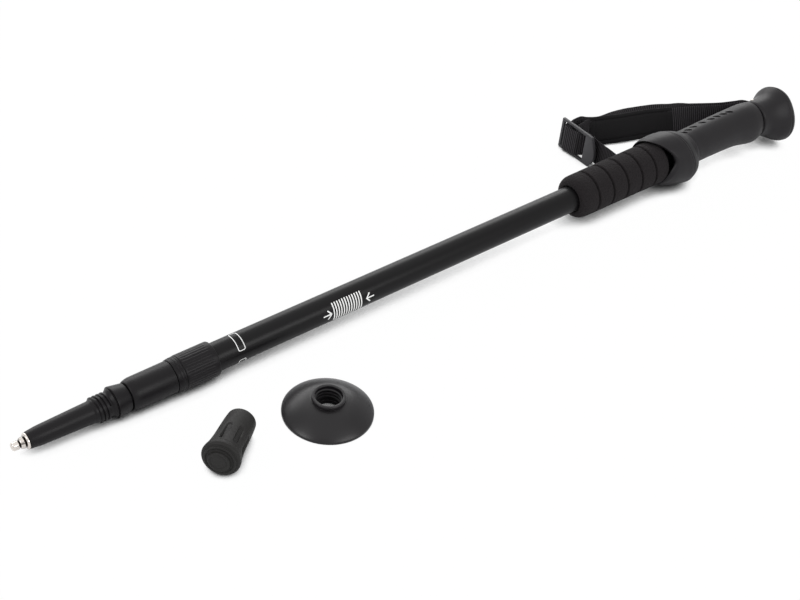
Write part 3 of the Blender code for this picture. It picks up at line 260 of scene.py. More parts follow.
LOOSE_END = [
    ((-125.6, 46.0, 11.2), (0.0, 0.0, 1.0)),
    ((-125.1, 38.0, 10.3), (0.0, 0.0, 1.0)),
    ((-125.3, 28.0, 10.3), (0.0, 0.0, 1.0)),
    ((-125.8, 18.6, 10.3), (0.0, 0.0, 1.0)),
]
# At the buckle: offsets from a bar's centre and degrees round it
SEWN_START = (4.5, 2.4)
SEWN_TURN = (75, 110, 145, 180, 215, 250, 285)
SEWN_END = (5.0, -2.7)
LACED_FAR_BAR = (65, 100, 140, 180)
LACED_NEAR_BAR = (180, 215, 250, 285)
LACED_END = (3.8, -5.0)
PIN_R = 1.25
PIN_DEPTH = 3.0
POCKET_MOUTH = 13.6
POCKET_PLAY = 0.4
POCKET_CUT = 22.0       # how far the tool that cuts the pocket stands out of it
STRAP_SINK = 1.2

# Marks on the upper tube: distances from the tip, and degrees round it
INK_R = 9.04
INK_DEPTH = 0.06
MARK_FRAME_ENDS = (143.7, 148.3)
MARK_FRAMES = [(62.0, 151.0), (194.0, 283.0)]
MARK_FRAME_CORNER = 1.1
MARK_FRAME_LINE = 0.5
SPRING_SIGN = (213.0, 233.9)
SPRING_SIGN_TURN = (124.0, 209.0)
SPRING_SIGN_BARS = 12
SPRING_SIGN_LINE = 0.8
ARROWS = ((204.9, 211.0, 208.3), (243.6, 237.8, 240.5))     # tail, point, ends of the barbs
ARROW_SPREAD = 19.5
ARROW_LINE = 0.85
STROKE_STEP = 4.0       # degrees round the tube between a line's points

# Rubber cap's slots, in the CAD's frame of the cap
CAP_SLOTS = 8
CAP_SLOT_ENDS = (5.2, 21.0)
CAP_SLOT_HALF = 1.8
CAP_SLOT_DEPTH = 1.9
CAP_SLOT_FADE = 0.7     # the share of that depth that is gone at a slot's far end
CAP_SLOT_TURN = 11.5    # degrees that the photograph's slots are turned from the CAD's
CAP_SLOT_SIDE = 0.5     # the width of the slope down into a slot
CAP_SKIN_R = 9.0        # the radius outside which lies the cap's outer skin
CAP_FLARE = 4.0
CAP_ROW = 0.7

# Basket: its bore, and the rows of points on each side of its dome
BASKET_BORE_R = 8.2
DOME_ROWS = 14

# Anti-shock spring
SPRING_START = 527.4
SPRING_LENGTH = 36.0
SPRING_TURNS = 9
SPRING_WIRE_R = 0.8
SPRING_COIL_R = 5.0
SPRING_STEPS = 32       # points of a turn

# Buckle, which stands on its edge: place along the pole, and places across the floor
BUCKLE_X = 480.3
BUCKLE_ENDS = (41.5, 72.5)
BUCKLE_BARS = (55.0, 64.5)
BUCKLE_RAIL = 1.8
BUCKLE_BAR = 2.2
BUCKLE_TAB = 6.0
BUCKLE_BULGE = 5.0      # how far the tab's round end reaches beyond the frame
BUCKLE_BULGE_SHARES = (1.0, 0.45)   # what the tab's first two columns take of that
BUCKLE_ROWS = 16
BUCKLE_SLOTS = (2, 4, 6)            # columns of the grid that are open
BUCKLE_EDGE = 0.4
BUCKLE_SHARP = 50.0     # degrees between faces whose edge is rounded
BUCKLE_THICKNESS = 1.8
BUCKLE_DEEP = 2.4       # the drawn plate, whose bars the webbing just clears
BUCKLE_INNER = WEBBING_WIDTH + 4 * TOUCH

# Stage: each light's name, place and size in metres, and power in watts
LEFT_LIGHT = ("left_light", (-1.1, 0.05, 0.72), (0.45, 0.45))
LIGHTS = [
    ("right_light", (0.08, -1.0, 0.7), (0.7, 0.5), 4.5),
    ("back_light", (0.4, 1.2, 0.6), (2.0, 0.7), 13.0),
    ("top_light", (-0.1, 0.1, 1.7), (2.6, 2.2), 6.0),
]
WORLD_LIGHT = 0.72
SHADOW_REACH = 0.0145   # metres from the object over which the paper shows a shadow
# The photograph's camera, found from the places of the pole, the cap and the basket
CAMERA_LENS = 67.85
CAMERA_PLACE = (-0.551552, -0.550061, 0.61808)
CAMERA_RIGHT = (0.7849, -0.6129, 0.0904)
CAMERA_UP = (0.3397, 0.5478, 0.7645)
CAMERA_AHEAD = (0.5182, 0.5694, -0.6382)


def linear(channel):
    """One sRGB channel, 0 to 1, as scene-linear light."""
    if channel <= 0.04045:
        return channel / 12.92
    return ((channel + 0.055) / 1.055) ** 2.4


def hex_colour(text):
    """A colour of an sRGB hex string for a shader."""
    return (*(linear(int(text[i:i + 2], 16) / 255) for i in (0, 2, 4)), 1.0)


def colour_setting(name, description, text):
    """A colour that a user may change, by default that of an sRGB hex string."""
    return FloatVectorProperty(name=name, description=description, subtype="COLOR",
                               default=hex_colour(text)[:3])


class PoleSettings(bpy.types.PropertyGroup):
    """Sizes and colours that a user may change before the pieces are built."""
    rib_pitch: FloatProperty(
        name="Webbing rib pitch", description="Distance between the webbing's ribs",
        default=0.0015, unit="LENGTH")
    flute_depth: FloatProperty(
        name="Collar flute depth", description="Depth of the upper collar's flutes",
        default=0.00025, unit="LENGTH")
    foam_groove: FloatProperty(
        name="Foam groove depth", description="Depth of the grooves round the foam sleeve",
        default=0.0017, unit="LENGTH")
    tube_colour: colour_setting("Tubes", "Colour of the anodised tubes", "0D0C0D")
    plastic_colour: colour_setting("Plastic", "Colour of the collars, holder and basket",
                                   "0F0D0F")
    foam_colour: colour_setting("Foam", "Colour of the foam sleeve", "191617")
    grip_colour: colour_setting("Handle", "Colour of the handle's rubber", "181618")
    strap_colour: colour_setting("Strap", "Colour of the webbing and its pad", "0D0C0D")
    buckle_colour: colour_setting("Buckle", "Colour of the strap's buckle", "353436")
    cap_colour: colour_setting("Tip cap", "Colour of the rubber cap", "1D1C1B")
    mark_colour: colour_setting("Marks", "Colour of the marks on the tube", "E6E6E4")
    left_light: FloatProperty(
        name="Left light", description="Power of the light on the left", default=4.0,
        unit="POWER")


def add_node(tree, kind, settings=(), values=(), links=()):
    """A node with its settings, its input values, and links from other nodes' outputs."""
    node = tree.nodes.new(kind)
    for name, value in settings:
        setattr(node, name, value)
    for name, value in values:
        node.inputs[name].default_value = value
    for name, output in links:
        tree.links.new(output, node.inputs[name])
    return node


def new_finish(name, colour, roughness, metallic=0.0, **more):
    """A principled material and its tree and shader; more names further constant inputs."""
    made = bpy.data.materials.get(name)
    if made:
        return made, None, None
    made = bpy.data.materials.new(name)
    made.use_nodes = True
    shader = made.node_tree.nodes["Principled BSDF"]
    shader.inputs["Base Color"].default_value = (*colour[:3], 1.0)
    shader.inputs["Roughness"].default_value = roughness
    shader.inputs["Metallic"].default_value = metallic
    for key, value in more.items():
        shader.inputs[key.replace("_", " ")].default_value = value
    made.diffuse_color = (*colour[:3], 1.0)
    return made, made.node_tree, shader


def grain(tree, shader, scale, height, spread=None, detail=3.0):
    """A fine noise as a bump, along which the roughness may spread between two values.

    Scale is in waves a metre and height in metres. The real grain of these finishes is
    finer than the render shows, so each is drawn about 0.2 to 0.9 mm coarse, and just high
    enough to break up a highlight.
    """
    space = add_node(tree, "ShaderNodeTexCoord").outputs["Object"]
    noise = add_node(tree, "ShaderNodeTexNoise",
                     values=[("Scale", scale), ("Detail", detail)],
                     links=[("Vector", space)])
    bump = add_node(tree, "ShaderNodeBump",
                    values=[("Strength", 1.0), ("Distance", height)],
                    links=[("Height", noise.outputs["Fac"])])
    tree.links.new(bump.outputs["Normal"], shader.inputs["Normal"])
    if spread:
        low, high = spread
        rough = add_node(tree, "ShaderNodeMapRange",
                         values=[("From Min", 0.3), ("From Max", 0.7), ("To Min", low),
                                 ("To Max", high)],
                         links=[("Value", noise.outputs["Fac"])])
        tree.links.new(rough.outputs["Result"], shader.inputs["Roughness"])


def two_tones(tree, shader, share, first, second):
    """Let the shader's colour run between two with the share that an output gives."""
    tone = add_node(tree, "ShaderNodeMix", [("data_type", "RGBA")],
                    values=[("A", first), ("B", second)], links=[("Factor", share)])
    tree.links.new(tone.outputs["Result"], shader.inputs["Base Color"])


def grained(name, colour, roughness, scale, height, spread=None, metallic=0.0, **more):
    """A plain finish with a fine grain."""
    made, tree, shader = new_finish(name, colour, roughness, metallic, **more)
    if tree:
        grain(tree, shader, scale, height, spread)
    return made


def scaled(colour, share):
    """A colour made darker or lighter by a share."""
    return (*(channel * share for channel in colour), 1.0)


def anodised_black(settings):
    """Satin black anodising: a soft, clean line of light runs along the tube."""
    return grained("anodised black aluminium", settings.tube_colour, 0.32, 2600.0, 0.000002,
                   (0.29, 0.36), Specular_IOR_Level=0.15, Sheen_Weight=0.03,
                   Sheen_Roughness=0.3)


def satin_nylon(settings):
    """Moulded black nylon: broad highlights that break up in a very fine grain."""
    return grained("moulded black nylon", settings.plastic_colour, 0.36, 1800.0, 0.000006,
                   (0.34, 0.44), Specular_IOR_Level=0.16)


def basket_plastic(settings):
    """Satin black plastic of the basket: wide, soft spots of light on its dome."""
    return grained("satin basket plastic", scaled(settings.plastic_colour, 1.15), 0.34,
                   1500.0, 0.000006, (0.31, 0.38), Specular_IOR_Level=0.3)


def lock_nylon():
    """Dark grey nylon of the locks' hidden pieces, dull and plain."""
    return grained("dark grey lock nylon", hex_colour("2A2B2E"), 0.5, 1500.0, 0.000006)


def nickel_steel():
    """Nickel-plated steel: bright, but for painted shade and painted reflections."""
    # The dark tone is painted shade in the tip's grooves and a painted reflection in the
    # streaks on its nose, where its groove layer says
    bright, dull = hex_colour("C9C3BD"), hex_colour("1E1B18")
    made, tree, shader = new_finish("nickel-plated steel", bright, 0.12, 1.0)
    if tree:
        groove = add_node(tree, "ShaderNodeAttribute", [("attribute_name", "groove")])
        two_tones(tree, shader, groove.outputs["Fac"], bright, dull)
        grain(tree, shader, 3000.0, 0.000003, (0.1, 0.16))
    return made


def turned_brass():
    """Turned brass of the lock cones: warm, with a satin shine."""
    return grained("turned brass", hex_colour("B08D4A"), 0.3, 2500.0, 0.000003,
                   metallic=1.0)


def matt_foam(settings):
    """Closed-cell foam: quite matt, speckled with small open pores.

    The pores are drawn about 1.4 mm apart, coarser than the real ones, so that they show.
    """
    made, tree, shader = new_finish("matt black foam", settings.foam_colour, 0.92,
                                    Specular_IOR_Level=0.2)
    if tree:
        space = add_node(tree, "ShaderNodeTexCoord").outputs["Object"]
        pores = add_node(tree, "ShaderNodeTexVoronoi", values=[("Scale", 700.0)],
                         links=[("Vector", space)])
        skin = add_node(tree, "ShaderNodeTexNoise",
                        values=[("Scale", 1100.0), ("Detail", 4.0)],
                        links=[("Vector", space)])
        both = add_node(tree, "ShaderNodeMath", [("operation", "ADD")],
                        links=[(0, pores.outputs["Distance"]), (1, skin.outputs["Fac"])])
        bump = add_node(tree, "ShaderNodeBump",
                        values=[("Strength", 1.0), ("Distance", 0.0005)],
                        links=[("Height", both.outputs["Value"])])
        tree.links.new(bump.outputs["Normal"], shader.inputs["Normal"])
        two_tones(tree, shader, skin.outputs["Fac"], scaled(settings.foam_colour, 0.25),
                  scaled(settings.foam_colour, 1.9))
    return made


def grip_rubber(settings):
    """Charcoal rubber with a soft sheen: broad highlights with no sharp edge."""
    return grained("charcoal grip rubber", settings.grip_colour, 0.42, 1400.0, 0.000008,
                   (0.38, 0.48), Specular_IOR_Level=0.2)


def cap_rubber(settings):
    """Dark grey rubber of the tip cap, duller than the grip."""
    return grained("dark grey cap rubber", settings.cap_colour, 0.5, 1100.0, 0.00001,
                   (0.52, 0.66), Specular_IOR_Level=0.2)


def black_webbing(settings):
    """Woven nylon: fuzzy at grazing angles, with a fine weave in each rib.

    The ribs and the dips between them are the mesh's own, drawn a little coarser than woven
    ones, so that they show. A painted highlight lightens the ribs and painted shade darkens
    the dips.
    """
    made, tree, shader = new_finish("black nylon webbing", settings.strap_colour, 0.8,
                                    Sheen_Weight=0.05, Sheen_Roughness=0.4,
                                    Specular_IOR_Level=0.15)
    if tree:
        grain(tree, shader, 3800.0, 0.00004, detail=2.0)
        # Painted highlight on the ribs and painted shade in the dips, from the rib layer
        rib = add_node(tree, "ShaderNodeAttribute", [("attribute_name", "rib")])
        two_tones(tree, shader, rib.outputs["Fac"], scaled(settings.strap_colour, 0.25),
                  scaled(settings.strap_colour, 9.0))
    return made


def pad_cloth(settings):
    """Smooth padded cloth: softer than the webbing, with hardly any weave."""
    made, tree, shader = new_finish("smooth black pad cloth",
                                    scaled(settings.strap_colour, 1.25), 0.78,
                                    Sheen_Weight=0.04, Sheen_Roughness=0.45,
                                    Specular_IOR_Level=0.15)
    if tree:
        grain(tree, shader, 5200.0, 0.00002, detail=2.0)
    return made


def buckle_plastic(settings):
    """Moulded dark grey plastic, a little glossier than the collars."""
    return grained("dark grey buckle plastic", settings.buckle_colour, 0.34, 1700.0,
                   0.000005, (0.32, 0.42), Specular_IOR_Level=0.25)


def mark_paint(settings):
    """White printing ink, quite flat and dull."""
    return grained("white printing ink", settings.mark_colour, 0.55, 2400.0, 0.000003)


def floor_paper():
    """White paper, white to the camera but for real and painted shadow close by."""
    paper, shade = hex_colour("F6F6F6"), hex_colour("404040")
    made, tree, shader = new_finish("white floor paper", paper, 0.9, Specular_IOR_Level=0.1)
    if tree:
        path = add_node(tree, "ShaderNodeLightPath")
        near = add_node(tree, "ShaderNodeAmbientOcclusion", [("samples", 8)],
                        values=[("Distance", SHADOW_REACH)])
        # How open a spot lies, once for the plain white and once for the painted shadow's
        # tone
        clear, deep = [
            add_node(tree, "ShaderNodeMapRange",
                     values=[("From Min", low), ("From Max", high), ("To Min", 0.0),
                             ("To Max", most)],
                     links=[("Value", near.outputs["AO"])])
            for low, high, most in ((0.34, 0.62, 0.985), (0.22, 0.55, 1.0))]
        # Painted shadow: close to the object the paper's colour darkens towards the grey
        # shade
        two_tones(tree, shader, deep.outputs["Result"], shade, paper)
        share = add_node(tree, "ShaderNodeMath", [("operation", "MULTIPLY")],
                         links=[(0, path.outputs["Is Camera Ray"]),
                                (1, clear.outputs["Result"])])
        white = add_node(tree, "ShaderNodeEmission", values=[("Strength", 1.0)])
        both = add_node(tree, "ShaderNodeMixShader",
                        links=[(0, share.outputs[0]), (1, shader.outputs[0]),
                               (2, white.outputs[0])])
        sheet = tree.nodes["Material Output"]
        tree.links.new(both.outputs[0], sheet.inputs["Surface"])
    return made


def rounded(points, steps=4):
    """A profile of (along, radius, cut) points whose corners are cut into round arcs.

    A cut takes at most nearly half of each side, so that its neighbours keep their room.
    """
    most = 0.48
    made = []
    for i, (along, radius, cut) in enumerate(points):
        here = Vector((along, radius))
        if not cut or i in (0, len(points) - 1):
            made.append((along, radius))
            continue
        back = Vector(points[i - 1][:2]) - here
        ahead = Vector(points[i + 1][:2]) - here
        first = here + back.normalized() * min(cut, back.length * most)
        last = here + ahead.normalized() * min(cut, ahead.length * most)
        for k in range(steps + 1):
            t = k / steps
            made.append(tuple((1 - t) ** 2 * first + 2 * t * (1 - t) * here + t * t * last))
    return made


def turned(profile, sides=96):
    """A bmesh of a profile of (along, radius) points turned round the X axis."""
    bm = bmesh.new()
    verts = [bm.verts.new((along, radius, 0.0)) for along, radius in profile]
    edges = [bm.edges.new(pair) for pair in zip(verts, verts[1:])]
    bmesh.ops.spin(bm, geom=verts + edges, cent=(0, 0, 0), axis=(1, 0, 0),
                   angle=2 * math.pi, steps=sides, use_merge=True)
    bmesh.ops.remove_doubles(bm, verts=bm.verts, dist=MERGE)
    return bm


def wrapped(around, along, place, filled=True, layer="", value=None):
    """A bmesh of a sleeve through place(u, k): u runs once round it, k counts its rows.

    A layer, where it is named, holds value(k) for the material.
    """
    bm = bmesh.new()
    held = bm.verts.layers.float.new(layer) if layer else None
    bmesh.ops.create_grid(bm, x_segments=around, y_segments=along, size=0.5)
    for vert in bm.verts:
        k = round((vert.co.y + 0.5) * along)
        vert.co = place(vert.co.x + 0.5, k)
        if layer:
            vert[held] = value(k)
    bmesh.ops.remove_doubles(bm, verts=bm.verts, dist=MERGE)
    if filled:
        rims = [edge for edge in bm.edges if edge.is_boundary]
        bmesh.ops.holes_fill(bm, edges=rims, sides=0)
    return bm


def sunk(vert, depth):
    """Move a point of a turned piece towards its axis."""
    outer = math.hypot(vert.co.y, vert.co.z)
    vert.co.y *= 1 - depth / outer
    vert.co.z *= 1 - depth / outer


def helix(bm, start, core_r, height, width, pitch, turns, steps=48):
    """Add a thread's ridge round the X axis; a negative height stands inwards.

    It starts a tenth of its height below the surface and runs out over a quarter turn.
    """
    count = int(turns * steps)
    taper = steps / 4
    below = 0.1
    ridge = [(-width / 2, -below), (-width / 5, 1.0), (width / 5, 1.0), (width / 2, -below)]
    verts = [bm.verts.new((start + x, core_r + height * share, 0.0)) for x, share in ridge]
    edges = [bm.edges.new((verts[i], verts[(i + 1) % 4])) for i in range(4)]
    face = bm.faces.new(verts)
    before = set(bm.verts) - set(verts)
    bmesh.ops.spin(bm, geom=verts + edges + [face], cent=(0, 0, 0), axis=(1, 0, 0),
                   dvec=(pitch / steps, 0, 0), angle=2 * math.pi * turns, steps=count,
                   use_merge=False)
    for vert in set(bm.verts) - before:
        gone = (vert.co.x - start + width / 2) / pitch * steps
        end = min(gone, count + width / pitch * steps - gone) / taper
        stands = math.hypot(vert.co.y, vert.co.z) - core_r + below * height
        sunk(vert, stands * (1.0 - min(end, 1.0)))


def in_scene(name, data):
    """A new object in the scene of a mesh, a light or a camera."""
    made = bpy.data.objects.new(name, data)
    bpy.context.scene.collection.objects.link(made)
    return made


def formed(name, bm, place):
    """An object of a bmesh in millimetres in one of the frames of the CAD source."""
    bmesh.ops.recalc_face_normals(bm, faces=bm.faces)
    bmesh.ops.transform(bm, matrix=place @ Matrix.Scale(MM, 4), verts=bm.verts)
    mesh = bpy.data.meshes.new(name)
    bm.to_mesh(mesh)
    bm.free()
    return in_scene(name, mesh)


def smooth(mesh, sharp=SHARP):
    """Shade a mesh smooth, but for its edges above an angle in degrees."""
    mesh.shade_smooth()
    mesh.set_sharp_from_angle(angle=math.radians(sharp))


def settle(name, bm, place, finish, body, replaced=(), sharp=SHARP):
    """A finished piece of a bmesh in millimetres, riding on its CAD body."""
    piece = formed(name, bm, place)
    smooth(piece.data, sharp)
    piece.data.materials.append(finish)
    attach(piece, body)
    for node in replaced:
        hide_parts(node)
    return piece


def along_rows(rows, x):
    """A table's values at x, on smooth curves through its rows."""
    last = len(rows) - 1
    k = max([i for i in range(last) if rows[i][0] <= x], default=0)
    span = rows[k + 1][0] - rows[k][0]
    t = min(max((x - rows[k][0]) / span, 0.0), 1.0)
    before = rows[max(k - 1, 0)]
    after = rows[min(k + 2, last)]
    values = []
    for a, b, c, d in zip(before[1:], rows[k][1:], rows[k + 1][1:], after[1:]):
        rise = (c - a) / (rows[k + 1][0] - before[0]) * span
        fall = (d - b) / (after[0] - rows[k][0]) * span
        values.append(b + t * rise + t * t * (3 * (c - b) - 2 * rise - fall)
                      + t ** 3 * (2 * (b - c) + rise + fall))
    return values


def skin_point(rows, front, x, angle, sink=0.0):
    """A point of the handle's skin; half heights differ between palm and fingers."""
    palm, fingers, side, lean = along_rows(rows, x)
    half = palm if math.cos(angle) > 0 else fingers
    y = (half - sink) * math.cos(angle)
    return Vector((front + x - lean * y, y, (side - sink) * math.sin(angle)))


def cup_edge(angle):
    """How far from the lip the cup's edge lies at an angle from the palm line."""
    degrees = math.degrees(angle) % 360.0
    return along_rows(CUP_EDGE, min(degrees, 360.0 - degrees))[0]


def smooth_step(x):
    """0 below 0 and 1 above 1, with a smooth way between."""
    x = min(max(x, 0.0), 1.0)
    return x * x * (3 - 2 * x)


def groove_depth(grooves, x):
    """How deep a piece's grooves are at x."""
    return sum(depth * math.exp(-((x - middle) / wide) ** 2)
               for middle, depth, wide in grooves)


def beside_bar(bar_y, *offsets):
    """The webbing's stations at offsets from the centre of one of the buckle's bars."""
    height = FLOOR_GAP + BUCKLE_RAIL + BUCKLE_INNER / 2
    return [(Vector((BUCKLE_X + x, bar_y + y, height)), Vector((0.0, 0.0, 1.0)))
            for x, y in offsets]


def round_bar(bar_y, layer, degrees):
    """The webbing's stations round one of the buckle's bars, in a layer counted from 0."""
    clear_of_bar = math.hypot(BUCKLE_BAR, BUCKLE_THICKNESS) / 2 + TOUCH
    reach = clear_of_bar + WEBBING_THICKNESS / 2 + layer * (WEBBING_THICKNESS + TOUCH)
    angles = [math.radians(degree) for degree in degrees]
    return beside_bar(bar_y, *((reach * math.cos(angle), reach * math.sin(angle))
                               for angle in angles))


def on_floor(rows):
    """Stations of a table whose places along the pole are counted from the pin."""
    pin = Vector((STRAP_PIN, 0.0, 0.0))
    return [(pin + Vector(centre), Vector(across).normalized()) for centre, across in rows]


def strap_root():
    """The webbing's turn round its pin in the handle's head."""
    to_floor = FLOOR.inverted() @ SLOT
    reach = PIN_R + TOUCH + WEBBING_THICKNESS / 2
    centre = Vector((STRAP_PIN, PIN_DEPTH, 0.0))
    places = [Vector((STRAP_PIN - reach, POCKET_MOUTH - STRAP_SINK, 0.0))]
    for step in range(7):
        angle = math.radians(180 + 30 * step)
        places.append(centre + reach * Vector((math.cos(angle), math.sin(angle), 0.0)))
    places.append(Vector((STRAP_PIN + reach, POCKET_MOUTH, 0.0)))
    across = (to_floor.to_3x3() @ Vector((0.0, 0.0, 1.0))).normalized()
    return [(to_floor @ (place * MM) / MM, across) for place in places]


def strap_stations():
    """Stations of the whole band, and the number of the padded leg's first one."""
    near_bar, far_bar = BUCKLE_BARS
    sewn = (beside_bar(far_bar, SEWN_START) + round_bar(far_bar, 0, SEWN_TURN)
            + beside_bar(far_bar, SEWN_END))
    laced = (round_bar(far_bar, 1, LACED_FAR_BAR)
             + round_bar(near_bar, 0, LACED_NEAR_BAR) + beside_bar(near_bar, LACED_END))
    route = (sewn + on_floor(PADDED_LEG) + strap_root() + on_floor(PLAIN_LEG) + laced
             + on_floor(LOOSE_END))
    return route, len(sewn)


def band_frames(stations, first, last, spacing):
    """Evenly spaced frames along a band between two stations: centre, width, face.

    The band runs on a smooth curve through the stations and is kept clear of the floor.
    """
    fine = []
    steps = 24
    count = len(stations)
    for k in range(first, last):
        rows = [[*stations[i][0], *stations[i][1]] if 0 <= i < count else None
                for i in (k - 1, k, k + 1, k + 2)]
        rows[0] = rows[0] or [2 * b - c for b, c in zip(rows[1], rows[2])]
        rows[3] = rows[3] or [2 * c - b for b, c in zip(rows[1], rows[2])]
        for step in range(steps):
            t = step / steps
            fine.append([0.5 * (2 * b + (c - a) * t + (2 * a - 5 * b + 4 * c - d) * t * t
                                + (3 * b - a - 3 * c + d) * t ** 3)
                         for a, b, c, d in zip(*rows)])
    fine.append([*stations[last][0], *stations[last][1]])
    spots = [Vector(row[:3]) for row in fine]
    gone = [0.0]
    for before, after in zip(spots, spots[1:]):
        gone.append(gone[-1] + (after - before).length)
    total = round(gone[-1] / spacing)
    frames = []
    k = 0
    for n in range(total + 1):
        here = gone[-1] * n / total
        while k < len(gone) - 2 and gone[k + 1] < here:
            k += 1
        share = (here - gone[k]) / (gone[k + 1] - gone[k])
        centre = spots[k].lerp(spots[k + 1], share)
        ahead = (spots[min(k + 2, len(spots) - 1)] - spots[max(k - 1, 0)]).normalized()
        across = Vector(fine[k][3:]).lerp(Vector(fine[k + 1][3:]), share)
        across = (across - across.dot(ahead) * ahead).normalized()
        face = ahead.cross(across)
        reach = abs(across.z) * WEBBING_WIDTH / 2 + abs(face.z) * WEBBING_THICKNESS / 2
        centre.z += max(0.0, FLOOR_GAP + reach - centre.z)
        frames.append((centre, across, face))
    return frames


class PieceOperator:
    """What the operators of the pieces have in common."""
    bl_options = {"REGISTER", "UNDO"}

    def execute(self, context):
        self.build(context.scene.walking_pole)
        return {"FINISHED"}


class POLE_OT_tubes(PieceOperator, bpy.types.Operator):
    """Build the three anodised tubes"""
    bl_idname = "pole.tubes"
    bl_label = "Tubes"

    def build(self, settings):
        finish = anodised_black(settings)
        for node, start, end, radius, body in TUBES:
            bore, seam = radius - TUBE_WALL, radius - 0.5
            profile = rounded([
                (start, seam, 0.0), (start, bore, 0.2), (end, bore, 0.2),
                (end, radius, 0.2), (start, radius, 0.2), (start, seam, 0.0),
            ], 3)
            settle(f"{node}_skin", turned(profile), POLE, finish, body, [node])


class POLE_OT_tip(PieceOperator, bpy.types.Operator):
    """Build the steel tip and its tapered, threaded holder"""
    bl_idname = "pole.tip"
    bl_label = "Tip and holder"

    def build(self, settings):
        pin = rounded([
            (1.1, 0.0, 0.0), (0.4, 1.2, 0.2), (0.0, 1.9, 0.3), (0.6, 2.5, 0.3),
            (3.8, 2.75, 0.2), (4.1, 2.2, 0.1), (4.7, 2.2, 0.1), (5.0, 3.05, 0.3),
            (7.0, 3.6, 0.2), (7.2, 2.9, 0.1), (7.8, 2.9, 0.1), (8.1, 4.4, 0.2),
            (8.6, 5.0, 0.25), (9.4, 5.0, 0.25), (9.4, 2.3, 0.0), (24.0, 2.3, 0.0),
            (24.0, 0.0, 0.0),
        ])
        bm = turned(pin, sides=72)
        # The groove layer: painted shade in the grooves, darkest at their bottoms, and
        # painted reflection streaks along the nose
        groove = bm.verts.layers.float.new("groove")
        for vert in bm.verts:
            x, y, z = vert.co
            if any(first < x < last for first, last in TIP_GROOVES):
                vert[groove] = 1.0 if math.hypot(y, z) < TIP_SHADE_R else TIP_GROOVE_SIDE_SHADE
            elif TIP_NOSE[0] < x < TIP_NOSE[1]:
                reflection_streak = max(0.0, math.cos(REFLECTION_STREAKS * math.atan2(z, y)))
                vert[groove] = REFLECTION_STREAK_TONE * reflection_streak ** 2
        settle("tip_pin_steel", bm, POLE, nickel_steel(), "lower_section",
               ["tip_pin"])
        holder = rounded([
            (24.3, 0.0, 0.0), (24.3, HOLDER_BORE_R, 0.0),
            (HOLDER_FRONT, HOLDER_BORE_R, 0.2), (HOLDER_FRONT, 5.1, 0.4),
            (HOLDER_FRONT + 6.5, 5.8, 2.0),
            (THREAD - 1.2, 6.72, 0.4), (THREAD, THREAD_R, 0.5), (FLANGE, THREAD_R, 0.6),
            (FLANGE + 1.9, 8.9, 0.5), (FLANGE + 2.3, 8.5, 0.1), (FLANGE + 2.6, 8.5, 0.1),
            (FLANGE + 2.7, 9.75, 0.15), (FLANGE + 3.5, 9.7, 0.3), (HOLDER_END, 8.4, 0.4),
            (HOLDER_END, HOLDER_SOCKET_R, 0.2), (SOCKET, HOLDER_SOCKET_R, 0.0),
            (SOCKET, 6.0, 0.0), (SOCKET + SOCKET_PLUG, 6.0, 0.3),
            (SOCKET + SOCKET_PLUG, 0.0, 0.0),
        ])
        bm = turned(holder)
        helix(bm, THREAD + 1.0, THREAD_R, height=0.95, width=1.5, pitch=THREAD_PITCH,
              turns=3.4)
        settle("tip_holder_body", bm, POLE, satin_nylon(settings), "lower_section",
               ["tip_holder"])


